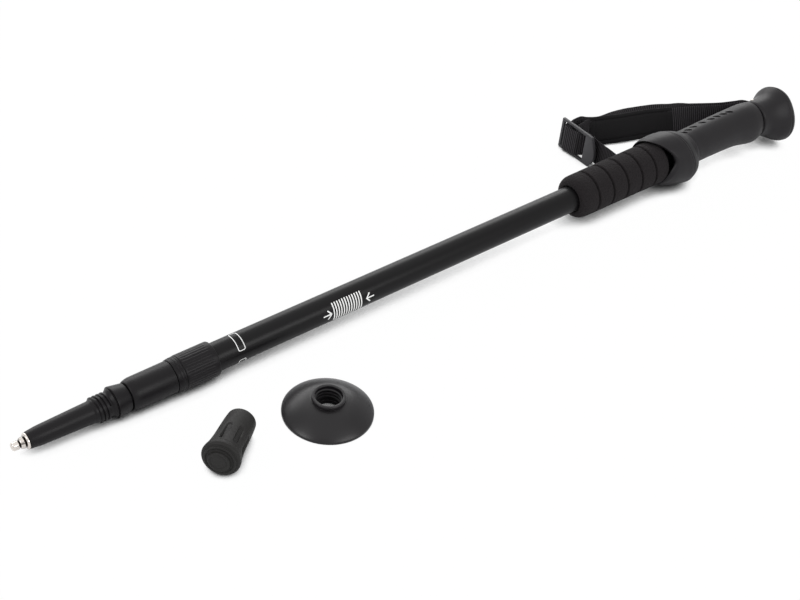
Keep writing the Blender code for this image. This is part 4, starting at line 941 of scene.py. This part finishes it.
class POLE_OT_collars(PieceOperator, bpy.types.Operator):
    """Build the two collars and the wiper ring in the upper one"""
    bl_idname = "pole.collars"
    bl_label = "Collars"

    def build(self, settings):
        finish = satin_nylon(settings)
        start, end = LOWER_COLLAR, LOWER_COLLAR_END
        lower = rounded([
            (start + 1.0, 7.2, 0.0), (start, 7.2, 0.3), (start, 8.9, 0.5),
            (start + 3.4, 9.9, 1.6), (end, 10.05, 0.25), (end, 8.3, 0.2),
            (start + 3.4, 8.3, 0.0),
            (start + 3.4, 7.2, 0.0), (start + 1.0, 7.2, 0.0),
        ])
        settle("lower_collar_body", turned(lower), POLE, finish, "middle_section",
               ["lower_collar"])

        start = UPPER_COLLAR
        ring = rounded([
            (start + 1.0, 8.2, 0.0), (start, 8.2, 0.3), (start - 1.4, 8.4, 0.3),
            (start - 1.4, 10.35, 0.3), (start + 0.5, 10.7, 0.2), (start + 0.7, 10.5, 0.1),
            (start + 1.0, 10.5, 0.1), (start + 1.2, 10.75, 0.12),
            (start + 2.4, 10.75, 0.12), (start + 2.6, 10.55, 0.1),
            (start + 2.9, 10.55, 0.1), (start + 3.1, 10.75, 0.12),
            (start + 4.0, 10.8, 0.1), (start + 4.0, 8.8, 0.1),
            (start + 5.5, 8.8, 0.0), (start + 5.5, 9.6, 0.2), (start + 6.4, 9.6, 0.2),
            (start + 6.4, 8.2, 0.1), (start + 1.0, 8.2, 0.0),
        ])
        settle("collar_wiper_ring", turned(ring), POLE, finish, "wiper_ring",
               ["collar_ring"])

        # The rows without a cut are those between which the flutes fade
        face, end = start + 4.2, UPPER_COLLAR_END
        upper = rounded([
            (face + 1.0, 9.1, 0.0), (face, 9.1, 0.2), (face, 10.75, 0.2),
            (face + 0.4, 10.95, 0.2), (face + 1.0, 11.0, 0.0), (face + 1.5, 11.0, 0.0),
            (face + 2.0, 11.0, 0.0), (end - 4.2, 11.0, 0.0), (end - 3.4, 11.0, 0.0),
            (end - 2.6, 11.0, 0.0), (end, 11.0, 0.7), (end, 9.3, 0.2),
            (face + 3.0, 9.3, 0.0), (face + 1.0, 9.3, 0.0), (face + 1.0, 9.1, 0.0),
        ])
        bm = turned(upper, sides=8 * FLUTES)
        depth = settings.flute_depth / MM
        for vert in bm.verts:
            if math.hypot(vert.co.y, vert.co.z) < FLUTED_R:
                continue
            rise = smooth_step((vert.co.x - face - FLUTE_ENDS[0]) / FLUTE_FADE)
            fall = smooth_step((end - FLUTE_ENDS[1] - vert.co.x) / FLUTE_FADE)
            phase = FLUTES * math.atan2(vert.co.z, vert.co.y)
            narrow = (0.5 + 0.5 * math.cos(phase)) ** 4
            sunk(vert, depth * rise * fall * narrow)
        settle("upper_collar_body", bm, POLE, finish, "handle", ["upper_collar"])


class POLE_OT_foam(PieceOperator, bpy.types.Operator):
    """Build the grooved foam sleeve"""
    bl_idname = "pole.foam"
    bl_label = "Foam sleeve"

    def build(self, settings):
        front, end = FOAM_START + FOAM_SHORT, FOAM_START + FOAM_LENGTH
        depth = settings.foam_groove / MM
        profile = [(end, FOAM_BORE_R, 0.0), (front + 0.6, FOAM_BORE_R, 0.4),
                   (front, 9.9, 0.4)]
        for step in range(1, 10):
            angle = math.radians(10 * step)
            profile.append((front + FOAM_NOSE * (1 - math.cos(angle)),
                            FOAM_NOSE_R + (FOAM_R - FOAM_NOSE_R) * math.sin(angle), 0.0))
        for k in range(FOAM_GROOVES):
            middle = FOAM_START + FOAM_GROOVE + FOAM_GROOVE_PITCH * k
            here = FOAM_R + FOAM_TAPER * (middle - FOAM_START) / FOAM_LENGTH
            profile += [(middle - 1.0, here, 0.6), (middle - 0.42, here - depth, 0.15),
                        (middle + 0.42, here - depth, 0.15), (middle + 1.0, here, 0.6)]
        profile += [(end - 3.4, FOAM_R + FOAM_TAPER, 1.6), (end - 0.8, 14.6, 1.2),
                    (end, 12.6, 0.5), (end, FOAM_BORE_R, 0.0)]
        piece = settle("foam_sleeve", turned(rounded(profile), sides=128), POLE,
                       matt_foam(settings), "handle", ["foam_grip"], sharp=60.0)


class POLE_OT_handle(PieceOperator, bpy.types.Operator):
    """Build the moulded handle with its scalloped cup and dimples, and its head"""
    bl_idname = "pole.handle"
    bl_label = "Handle"

    def build(self, settings):
        finish = grip_rubber(settings)
        # Rows of points: in the cup, round its lip, and on the skin as far as EDGE_REACH
        inner, lip, drawn = 5, 5, 12
        # Rows on the rest of the skin, close together where the grooves lie
        rest = ([EDGE_REACH + 0.25 * k for k in range(1, 29)]
                + [EDGE_REACH + 7.2 + 0.9 * k for k in range(91)])
        deep = CUP_DEPTH - CUP_CHAMFER
        base = [(CUP_DEPTH, CUP_BORE_R), (CUP_DEPTH, CUP_R - CUP_CHAMFER), (deep, CUP_R)]
        back = [(107.5, 0.2), (107.9, 0.5), (108.0, 1.4), (108.0, 2.6)]
        total = len(base) + inner + lip + drawn + len(rest) + len(back) - 1

        def place(u, k):
            """Rows of the cup's floor and wall, its lip, the skin and the end at the head."""
            angle = 2 * math.pi * u
            out = Vector((0.0, math.cos(angle), math.sin(angle)))
            edge = cup_edge(angle)
            wide = smooth_step((edge - CUP_WIDENS[0]) / (CUP_WIDENS[1] - CUP_WIDENS[0]))
            cup_r = CUP_R - CUP_TIGHTER * (1.0 - wide)
            if k < len(base):
                x, radius = base[k]
                return Vector((GRIP_LIP + x, 0.0, 0.0)) + radius * out
            k -= len(base)
            edge += LIP_ROUND
            if k < inner:
                share = (k + 1) / inner
                here = CUP_R + (cup_r - CUP_R) * share
                x = GRIP_LIP + deep + (edge - deep) * share
                return Vector((x, 0.0, 0.0)) + here * out
            k -= inner
            if k < lip:
                outer = skin_point(GRIP_SECTIONS, GRIP_LIP, edge, angle)
                within = Vector((GRIP_LIP + edge, 0.0, 0.0)) + cup_r * out
                round_lip = math.pi * (k + 1) / (lip + 1)
                point = within.lerp(outer, 0.5 - 0.5 * math.cos(round_lip))
                point.x -= LIP_ROUND * math.sin(round_lip)
                return point
            k -= lip
            if k < drawn:
                # Closer together near the lip
                x = edge + (EDGE_REACH - edge) * (k / (drawn - 1)) ** 1.3
                return skin_point(GRIP_SECTIONS, GRIP_LIP, x, angle)
            k -= drawn
            if k < len(rest):
                sink = groove_depth(GRIP_GROOVES, rest[k])
                return skin_point(GRIP_SECTIONS, GRIP_LIP, rest[k], angle, sink)
            x, sink = back[k - len(rest)]
            return skin_point(GRIP_SECTIONS, GRIP_LIP, x, angle, sink)

        bm = wrapped(144, total, place, filled=False)
        grip = settle("handle_grip", bm, HANDLE, finish, "handle", ["grip"])
        self.press(grip, self.dimple_tool(), HANDLE)

        # The head's rows, close together from 20.8 on, where its groove and rim lie
        front = [(-0.15, 0.7), (0.0, 0.3), (0.3, 0.1), (0.9, 0.0)]
        rows = front + [(x, groove_depth(HEAD_GROOVES, x))
                        for x in ([1.5 + 0.75 * k for k in range(26)]
                                  + [20.8 + 0.3 * k for k in range(25)])]
        head_end = HEAD_SECTIONS[-1][0]
        closing = 8         # rows of points across the head's end

        def head_place(u, k):
            """Rows of the head's bore, its skin, and its end, which closes in a point."""
            angle = 2 * math.pi * u
            if k == 0:
                out = Vector((0.0, math.cos(angle), math.sin(angle)))
                return Vector((HEAD_FRONT, 0.0, 0.0)) + HEAD_BORE_R * out
            k -= 1
            if k < len(rows):
                x, sink = rows[k]
                return skin_point(HEAD_SECTIONS, HEAD_FRONT, x, angle, sink)
            share = (k - len(rows) + 1) / closing
            edge = skin_point(HEAD_SECTIONS, HEAD_FRONT, head_end, angle)
            centre = Vector((HEAD_FRONT + head_end + HEAD_BULGE, 0.0, 0.0))
            point = edge.lerp(centre, share)
            point.x = edge.x + HEAD_BULGE * (1 - (1 - share) ** 2)
            return point

        bm = wrapped(128, len(rows) + closing, head_place, filled=False)
        head = settle("handle_head", bm, HANDLE, finish, "handle", ["grip_head"])
        self.press(head, self.pocket_tool(), SLOT)

    def dimple_tool(self):
        """Two rows of slanted ovals, in mirror image."""
        tool = bmesh.new()
        for side in (-1, 1):
            slant = Matrix.Rotation(math.radians(-DIMPLE_SLANT * side), 4, "Y")
            for x, degrees in DIMPLES:
                angle = math.radians(degrees) * side
                spot = skin_point(GRIP_SECTIONS, GRIP_LIP, x, angle)
                turn = Matrix.Rotation(angle, 4, "X") @ slant
                size = Matrix.Diagonal((*DIMPLE_SIZE, 1.0))
                bmesh.ops.create_icosphere(tool, subdivisions=3, radius=1.0,
                                           matrix=Matrix.Translation(spot) @ turn @ size)
        return tool

    def pocket_tool(self):
        """The slot in the head that the webbing goes into."""
        tool = bmesh.new()
        half_x = PIN_R + TOUCH + WEBBING_THICKNESS + POCKET_PLAY
        deep = POCKET_MOUTH + POCKET_CUT - PIN_DEPTH + half_x
        size = Matrix.Diagonal((2 * half_x, deep, WEBBING_WIDTH + 2 * POCKET_PLAY, 1.0))
        centre = Vector((STRAP_PIN, PIN_DEPTH - half_x + deep / 2, 0.0))
        bmesh.ops.create_cube(tool, size=1.0, matrix=Matrix.Translation(centre) @ size)
        bmesh.ops.bevel(tool, geom=tool.edges[:], offset=0.5, offset_type="OFFSET",
                        segments=3, profile=0.5, affect="EDGES", material=-1)
        return tool

    def press(self, piece, tool, place):
        """Cut a tool's shape out of a piece for good."""
        cutter = formed("tool", tool, place)
        step = piece.modifiers.new("cut", "BOOLEAN")
        step.operation = "DIFFERENCE"
        step.solver = "EXACT"
        step.use_self = False
        step.object = cutter
        graph = bpy.context.evaluated_depsgraph_get()
        cut = bpy.data.meshes.new_from_object(piece.evaluated_get(graph))
        piece.modifiers.clear()
        old = piece.data
        piece.data = cut
        cut.name = piece.name
        bpy.data.meshes.remove(old)
        bpy.data.objects.remove(cutter, do_unlink=True)
        smooth(piece.data)


class POLE_OT_strap(PieceOperator, bpy.types.Operator):
    """Build the ribbed webbing and the padded sleeve on its first leg"""
    bl_idname = "pole.strap"
    bl_label = "Strap"

    def build(self, settings):
        stations, leg = strap_stations()
        pitch = settings.rib_pitch / MM
        frames = band_frames(stations, 0, len(stations) - 1, pitch / RIB_ROWS)
        # The section in shares of the width and of half the thickness
        edge = [(-0.5, 0.0), (-0.49, 0.7), (-0.46, 1.0), (-0.2, 1.0), (0.2, 1.0),
                (0.46, 1.0), (0.49, 0.7), (0.5, 0.0)]
        ring = edge + [(x, -y) for x, y in edge[-2:0:-1]]

        def on_rib(k):
            return float(k % RIB_ROWS < RIB_ROWS / 2)

        def web_place(u, k):
            centre, across, face = frames[k]
            x, y = ring[round(u * len(ring)) % len(ring)]
            thick = 1.0 if on_rib(k) else RIB_DIP
            return (centre + across * x * WEBBING_WIDTH
                    + face * y * thick * WEBBING_THICKNESS / 2)

        # The rib layer also carries the painted highlight on the ribs and the painted shade
        # in the dips
        bm = wrapped(len(ring), len(frames) - 1, web_place, layer="rib", value=on_rib)
        settle("strap_webbing_band", bm, FLOOR, black_webbing(settings), "handle",
               ["strap_webbing"], sharp=50.0)

        frames = band_frames(stations, leg + PAD_FROM, leg + PAD_TO, PAD_ROW)
        last = len(frames) - 1

        def pad_place(u, k):
            """A flattened oval, thinner towards its sides, its seam and its two ends."""
            centre, across, face = frames[k]
            angle = 2 * math.pi * u
            x = 0.5 * math.copysign(abs(math.cos(angle)) ** 0.55, math.cos(angle))
            full = math.copysign(abs(math.sin(angle)) ** 0.5, math.sin(angle))
            from_end = min(k, last - k) * PAD_ROW
            crown = 1.0 - 0.3 * (2 * abs(x)) ** 3 - groove_depth(PAD_SEAMS, abs(x))
            ends = 0.62 + 0.38 * smooth_step(from_end / PAD_ENDS)
            fold = groove_depth(PAD_FOLDS, from_end)
            thick = PAD_THICKNESS / 2 * crown * ends * (1 - fold)
            return centre + across * x * PAD_WIDTH + face * full * thick

        bm = wrapped(44, last, pad_place)
        pad = settle("strap_pad", bm, FLOOR, pad_cloth(settings), "handle", ["wrist_pad"],
                     sharp=60.0)


class POLE_OT_buckle(PieceOperator, bpy.types.Operator):
    """Build the ladder buckle"""
    bl_idname = "pole.buckle"
    bl_label = "Buckle"

    def build(self, settings):
        near, far = BUCKLE_ENDS
        low = FLOOR_GAP
        high = low + 2 * BUCKLE_RAIL + BUCKLE_INNER
        middle = (low + high) / 2
        columns = [near, near + BUCKLE_BAR, near + BUCKLE_TAB]
        for bar in BUCKLE_BARS:
            columns += [bar - BUCKLE_BAR / 2, bar + BUCKLE_BAR / 2]
        columns += [far - BUCKLE_BAR, far]
        rows = [low, low + BUCKLE_RAIL]
        rows += [low + BUCKLE_RAIL + BUCKLE_INNER * k / BUCKLE_ROWS
                 for k in range(1, BUCKLE_ROWS)]
        rows += [high - BUCKLE_RAIL, high]
        bm = bmesh.new()
        bmesh.ops.create_grid(bm, x_segments=len(columns) - 1, y_segments=len(rows) - 1,
                              size=0.5)
        spans = {}
        for vert in bm.verts:
            i = round((vert.co.x + 0.5) * (len(columns) - 1))
            j = round((vert.co.y + 0.5) * (len(rows) - 1))
            spans[vert] = (i, j)
            y = columns[i]
            if i < len(BUCKLE_BULGE_SHARES):
                # The tab is widest a little below its middle
                down = (1.0 - (rows[j] - middle) / (high - middle)) / 2
                swell = max(0.0, math.sin(math.pi * down ** 1.3)) ** 0.8
                y -= BUCKLE_BULGE * swell * BUCKLE_BULGE_SHARES[i]
            vert.co = (BUCKLE_X - BUCKLE_DEEP / 2, y, rows[j])
        doomed = []
        for f in bm.faces:
            i = min(spans[v][0] for v in f.verts)
            j = min(spans[v][1] for v in f.verts)
            if i in BUCKLE_SLOTS and 0 < j < len(rows) - 2:
                doomed.append(f)
        bmesh.ops.delete(bm, geom=doomed, context="FACES")
        grown = bmesh.ops.extrude_face_region(bm, geom=bm.faces[:])
        moved = [v for v in grown["geom"] if isinstance(v, bmesh.types.BMVert)]
        bmesh.ops.translate(bm, verts=moved, vec=(BUCKLE_DEEP, 0.0, 0.0))
        crisp = [e for e in bm.edges if len(e.link_faces) == 2
                 and e.calc_face_angle(0.0) > math.radians(BUCKLE_SHARP)]
        bmesh.ops.bevel(bm, geom=crisp, offset=BUCKLE_EDGE, offset_type="OFFSET",
                        segments=3, profile=0.5, affect="EDGES", material=-1)
        settle("strap_buckle_body", bm, FLOOR, buckle_plastic(settings), "handle",
               ["strap_buckle"])


class POLE_OT_cap(PieceOperator, bpy.types.Operator):
    """Build the grooved rubber cap for the tip"""
    bl_idname = "pole.cap"
    bl_label = "Rubber cap"

    def build(self, settings):
        profile = rounded([
            (3.8, 0.0, 0.0), (3.8, 5.1, 0.0), (35.8, 6.8, 0.4), (35.8, 8.7, 1.4),
            (29.0, 9.3, 3.0), (12.0, 9.9, 4.0), (4.0, 11.0, 0.5), (3.6, 10.9, 0.2),
            (3.2, 11.3, 0.2), (0.6, 11.7, 0.6), (-0.7, 10.9, 0.5), (-0.9, 9.5, 0.35),
            (-2.1, 9.5, 0.5), (-2.1, 8.4, 0.3), (-1.6, 8.0, 0.3), (-1.6, 6.9, 0.3),
            (-2.5, 6.5, 0.3), (-3.6, 6.5, 0.6), (-3.6, 5.4, 0.3), (-3.2, 5.0, 0.3),
            (-3.2, 4.4, 0.3), (-3.5, 4.0, 0.3), (-3.5, 0.0, 0.0),
        ])
        fine = []
        for (x1, r1), (x2, r2) in zip(profile, profile[1:]):
            skin = r1 > CAP_SKIN_R and x1 > CAP_FLARE
            pieces = max(1, round(abs(x2 - x1) / CAP_ROW)) if skin else 1
            fine += [(x1 + (x2 - x1) * k / pieces, r1 + (r2 - r1) * k / pieces)
                     for k in range(pieces)]
        fine.append(profile[-1])
        bm = turned(fine, sides=24 * CAP_SLOTS)
        start, end = CAP_SLOT_ENDS
        sector = 2 * math.pi / CAP_SLOTS
        for vert in bm.verts:
            x, y, z = vert.co
            outer = math.hypot(y, z)
            if outer < CAP_SKIN_R:
                continue
            angle = (math.atan2(z, y) + math.radians(CAP_SLOT_TURN)) % sector
            aside = min(angle, sector - angle) * outer
            ahead = max(start + CAP_SLOT_HALF - x, x - (end - CAP_SLOT_HALF), 0.0)
            edge = CAP_SLOT_HALF - math.hypot(aside, ahead)
            fade = 1 - CAP_SLOT_FADE * (x - start) / (end - start)
            sunk(vert, CAP_SLOT_DEPTH * fade * smooth_step(edge / CAP_SLOT_SIDE))
        settle("tip_cap_rubber", bm, CAP, cap_rubber(settings), "tip_cap", ["rubber_cap"])


class POLE_OT_basket(PieceOperator, bpy.types.Operator):
    """Build the domed mud basket with its threaded collar"""
    bl_idname = "pole.basket"
    bl_label = "Mud basket"

    def build(self, settings):
        outline = [(1.6, 6.9, 0.2), (1.8, BASKET_BORE_R, 0.2), (13.0, BASKET_BORE_R, 0.5),
                   (13.1, 10.2, 0.7), (10.6, 10.25, 0.5), (10.1, 9.8, 0.2)]
        # The dome's top from the collar down to its rim, and its hollow side back up
        for k in range(1, DOME_ROWS):
            share = k / DOME_ROWS
            outline.append((9.9 - 8.1 * share ** 1.75, 9.9 + 17.4 * share, 0.0))
        outline += [(1.6, 27.3, 0.35), (0.0, 27.3, 0.3), (0.0, 25.9, 0.3)]
        for k in range(DOME_ROWS - 1, 0, -1):
            share = k / DOME_ROWS
            outline.append((8.2 - 8.2 * share ** 1.9, 9.2 + 16.5 * share, 0.0))
        outline += [(7.9, 9.2, 0.6), (0.3, 9.2, 0.3), (0.3, 6.9, 0.3), (1.6, 6.9, 0.2)]
        bm = turned(rounded(outline), sides=160)
        helix(bm, 3.2, BASKET_BORE_R, height=-0.8, width=1.3, pitch=THREAD_PITCH, turns=3.2)
        upright = BASKET @ Matrix.Rotation(math.radians(-90), 4, "Y")
        settle("mud_basket_body", bm, upright, basket_plastic(settings), "basket",
               ["mud_basket"])


class POLE_OT_marks(PieceOperator, bpy.types.Operator):
    """Print the empty frames, the spring sign and its arrows on the upper tube"""
    bl_idname = "pole.marks"
    bl_label = "Tube marks"

    def build(self, settings):
        bm = bmesh.new()
        for low, high in MARK_FRAMES:
            self.frame(bm, MARK_FRAME_ENDS, (low, high), MARK_FRAME_CORNER)
        first, last = SPRING_SIGN
        low, high = SPRING_SIGN_TURN
        for k in range(SPRING_SIGN_BARS):
            s = first + (last - first) * k / (SPRING_SIGN_BARS - 1)
            self.stroke(bm, [(s, low), (s, high)], SPRING_SIGN_LINE)
        middle = (low + high) / 2
        for tail, tip, back in ARROWS:
            barbs = [(back, middle - ARROW_SPREAD), (tip, middle),
                     (back, middle + ARROW_SPREAD)]
            self.stroke(bm, [(tail, middle), (tip, middle)], ARROW_LINE)
            self.stroke(bm, barbs, ARROW_LINE)
        grown = bmesh.ops.extrude_face_region(bm, geom=bm.faces[:])
        for vert in grown["geom"]:
            if isinstance(vert, bmesh.types.BMVert):
                sunk(vert, INK_DEPTH)
        settle("tube_marks", bm, POLE, mark_paint(settings), "handle")

    def stroke(self, bm, path, width, closed=False):
        """A line on the tube along a path of distances from the tip and degrees."""
        fine = []
        for here, after in zip(path, path[1:] + path[:1]):
            steps = max(1, round(abs(after[1] - here[1]) / STROKE_STEP))
            fine += [(here[0] + (after[0] - here[0]) * k / steps,
                      here[1] + (after[1] - here[1]) * k / steps) for k in range(steps)]
            if not closed and after == path[-1]:
                break
        if not closed:
            fine.append(path[-1])
        flat = [Vector((s, math.radians(turn) * INK_R)) for s, turn in fine]
        count = len(flat)
        cells = count if closed else count - 1
        made = bmesh.ops.create_grid(bm, x_segments=cells, y_segments=1, size=0.5)
        for vert in made["verts"]:
            i = round((vert.co.x + 0.5) * cells)
            before = flat[(i - 1) % count] if closed else flat[max(i - 1, 0)]
            after = flat[(i + 1) % count] if closed else flat[min(i + 1, count - 1)]
            ahead = (after - before).normalized()
            spot = flat[i % count] + Vector((-ahead.y, ahead.x)) * vert.co.y * width
            angle = spot.y / INK_R
            vert.co = (spot.x, INK_R * math.cos(angle), INK_R * math.sin(angle))

    def frame(self, bm, ends, turns, corner):
        """An empty frame with round corners."""
        start, end = ends
        low, high = [math.radians(turn) * INK_R for turn in turns]
        corners = [(end - corner, high - corner, 0), (start + corner, high - corner, 90),
                   (start + corner, low + corner, 180), (end - corner, low + corner, 270)]
        path = []
        for x, y, first in corners:
            for step in range(7):
                angle = math.radians(first + 15 * step)
                path.append((x + corner * math.cos(angle),
                             math.degrees((y + corner * math.sin(angle)) / INK_R)))
        self.stroke(bm, path, MARK_FRAME_LINE, closed=True)


class POLE_OT_spring(PieceOperator, bpy.types.Operator):
    """Wind the anti-shock spring"""
    bl_idname = "pole.spring"
    bl_label = "Anti-shock spring"

    def build(self, settings):
        bm = bmesh.new()
        start = Matrix.Translation((SPRING_START + SPRING_WIRE_R, SPRING_COIL_R, 0.0))
        wire = bmesh.ops.create_circle(bm, segments=12, radius=SPRING_WIRE_R, cap_ends=True,
                                       matrix=start)["verts"]
        ring = list({part for vert in wire
                     for part in (vert, *vert.link_edges, *vert.link_faces)})
        closed = 2 * SPRING_WIRE_R + TOUCH
        live = SPRING_TURNS - 2
        pitch = (SPRING_LENGTH - 2 * SPRING_WIRE_R - 2 * closed) / live
        for turns, step in ((1, closed), (live, pitch), (1, closed)):
            ring = bmesh.ops.spin(bm, geom=ring, cent=(0, 0, 0), axis=(1, 0, 0),
                                  dvec=(step / SPRING_STEPS, 0, 0),
                                  angle=2 * math.pi * turns, steps=SPRING_STEPS * turns,
                                  use_merge=False)["geom_last"]
        spring = settle("shock_coil", bm, POLE, nickel_steel(), "shock_unit",
                        ["shock_spring"])
        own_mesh(spring)


class POLE_OT_inner(PieceOperator, bpy.types.Operator):
    """Give the CAD pieces inside the pole their finishes"""
    bl_idname = "pole.inner"
    bl_label = "Inner pieces"

    def build(self, settings):
        rows = [
            (nickel_steel(), ["strap_pin", "lower_screw", "shock_rod", "shock_stop_nut"]),
            (turned_brass(), ["lower_cone", "middle_cone"]),
            (lock_nylon(), ["lower_plug", "lower_sleeve", "lower_end_nut", "shock_guide",
                            "shock_seat", "middle_sleeve", "middle_end_nut"]),
        ]
        for finish, nodes in rows:
            for node in nodes:
                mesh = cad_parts[node].data
                mesh.materials.clear()
                mesh.materials.append(finish)


class POLE_OT_stage(PieceOperator, bpy.types.Operator):
    """Set up the floor, the world, the lights and the photograph's camera"""
    bl_idname = "pole.stage"
    bl_label = "Stage"

    def build(self, settings):
        bm = bmesh.new()
        bmesh.ops.create_grid(bm, x_segments=1, y_segments=1, size=4.0)
        mesh = bpy.data.meshes.new("floor")
        bm.to_mesh(mesh)
        bm.free()
        mesh.materials.append(floor_paper())
        stage = [in_scene("floor", mesh)]

        scene = bpy.context.scene
        scene.view_settings.view_transform = "Standard"
        world = bpy.data.worlds.new("white studio")
        world.use_nodes = True
        scene.world = world
        tree = world.node_tree
        tree.nodes.clear()
        path = add_node(tree, "ShaderNodeLightPath")
        seen = path.outputs["Is Camera Ray"]
        for ray in ("Is Glossy Ray", "Is Transmission Ray"):
            either = add_node(tree, "ShaderNodeMath", [("operation", "MAXIMUM")],
                              links=[(0, seen), (1, path.outputs[ray])])
            seen = either.outputs[0]
        soft = add_node(tree, "ShaderNodeBackground",
                        values=[("Color", (0.97, 0.98, 1.0, 1.0)),
                                ("Strength", WORLD_LIGHT)])
        white = add_node(tree, "ShaderNodeBackground",
                         values=[("Color", (1.0, 1.0, 1.0, 1.0)), ("Strength", 1.0)])
        both = add_node(tree, "ShaderNodeMixShader",
                        links=[(0, seen), (1, soft.outputs[0]), (2, white.outputs[0])])
        add_node(tree, "ShaderNodeOutputWorld", links=[("Surface", both.outputs[0])])

        for name, spot, size, power in [(*LEFT_LIGHT, settings.left_light), *LIGHTS]:
            light = bpy.data.lights.new(name, "AREA")
            light.shape = "RECTANGLE"
            light.size, light.size_y = size
            light.energy = power
            lamp = in_scene(name, light)
            lamp.location = spot
            lamp.rotation_euler = (-lamp.location).to_track_quat("-Z", "Y").to_euler()
            stage.append(lamp)

        camera = bpy.data.cameras.new("camera")
        camera.sensor_width = 36.0
        camera.lens = CAMERA_LENS
        camera.clip_start = 0.01
        camera.clip_end = 20.0
        eye = in_scene("camera", camera)
        axes = (Vector(CAMERA_RIGHT), Vector(CAMERA_UP), -Vector(CAMERA_AHEAD))
        view = Matrix(axes).transposed().to_4x4()
        view.translation = CAMERA_PLACE
        eye.matrix_world = view
        scene.camera = eye
        stage.append(eye)


class POLE_PT_panel(bpy.types.Panel):
    """The add-on's sizes, colours and operators"""
    bl_idname = "POLE_PT_panel"
    bl_label = "Walking pole"
    bl_space_type = "VIEW_3D"
    bl_region_type = "UI"
    bl_category = "Walking pole"

    def draw(self, context):
        settings = context.scene.walking_pole
        for name in PoleSettings.__annotations__:
            self.layout.prop(settings, name)
        for operator in OPERATORS:
            self.layout.operator(operator.bl_idname)


OPERATORS = (
    POLE_OT_tubes,
    POLE_OT_marks,
    POLE_OT_tip,
    POLE_OT_collars,
    POLE_OT_foam,
    POLE_OT_handle,
    POLE_OT_strap,
    POLE_OT_buckle,
    POLE_OT_cap,
    POLE_OT_basket,
    POLE_OT_spring,
    POLE_OT_inner,
    POLE_OT_stage,
)
CLASSES = (PoleSettings, *OPERATORS, POLE_PT_panel)


def register():
    """Add the settings, the operators and the panel to Blender."""
    for cls in CLASSES:
        bpy.utils.register_class(cls)
    bpy.types.Scene.walking_pole = PointerProperty(type=PoleSettings)


def unregister():
    """Take them out again."""
    del bpy.types.Scene.walking_pole
    for cls in reversed(CLASSES):
        bpy.utils.unregister_class(cls)


def main():
    """Register the add-on, then build everything."""
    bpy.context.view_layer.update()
    register()
    for operator in OPERATORS:
        group, name = operator.bl_idname.split(".")
        getattr(getattr(bpy.ops, group), name)()


if __name__ == "__main__":
    main()
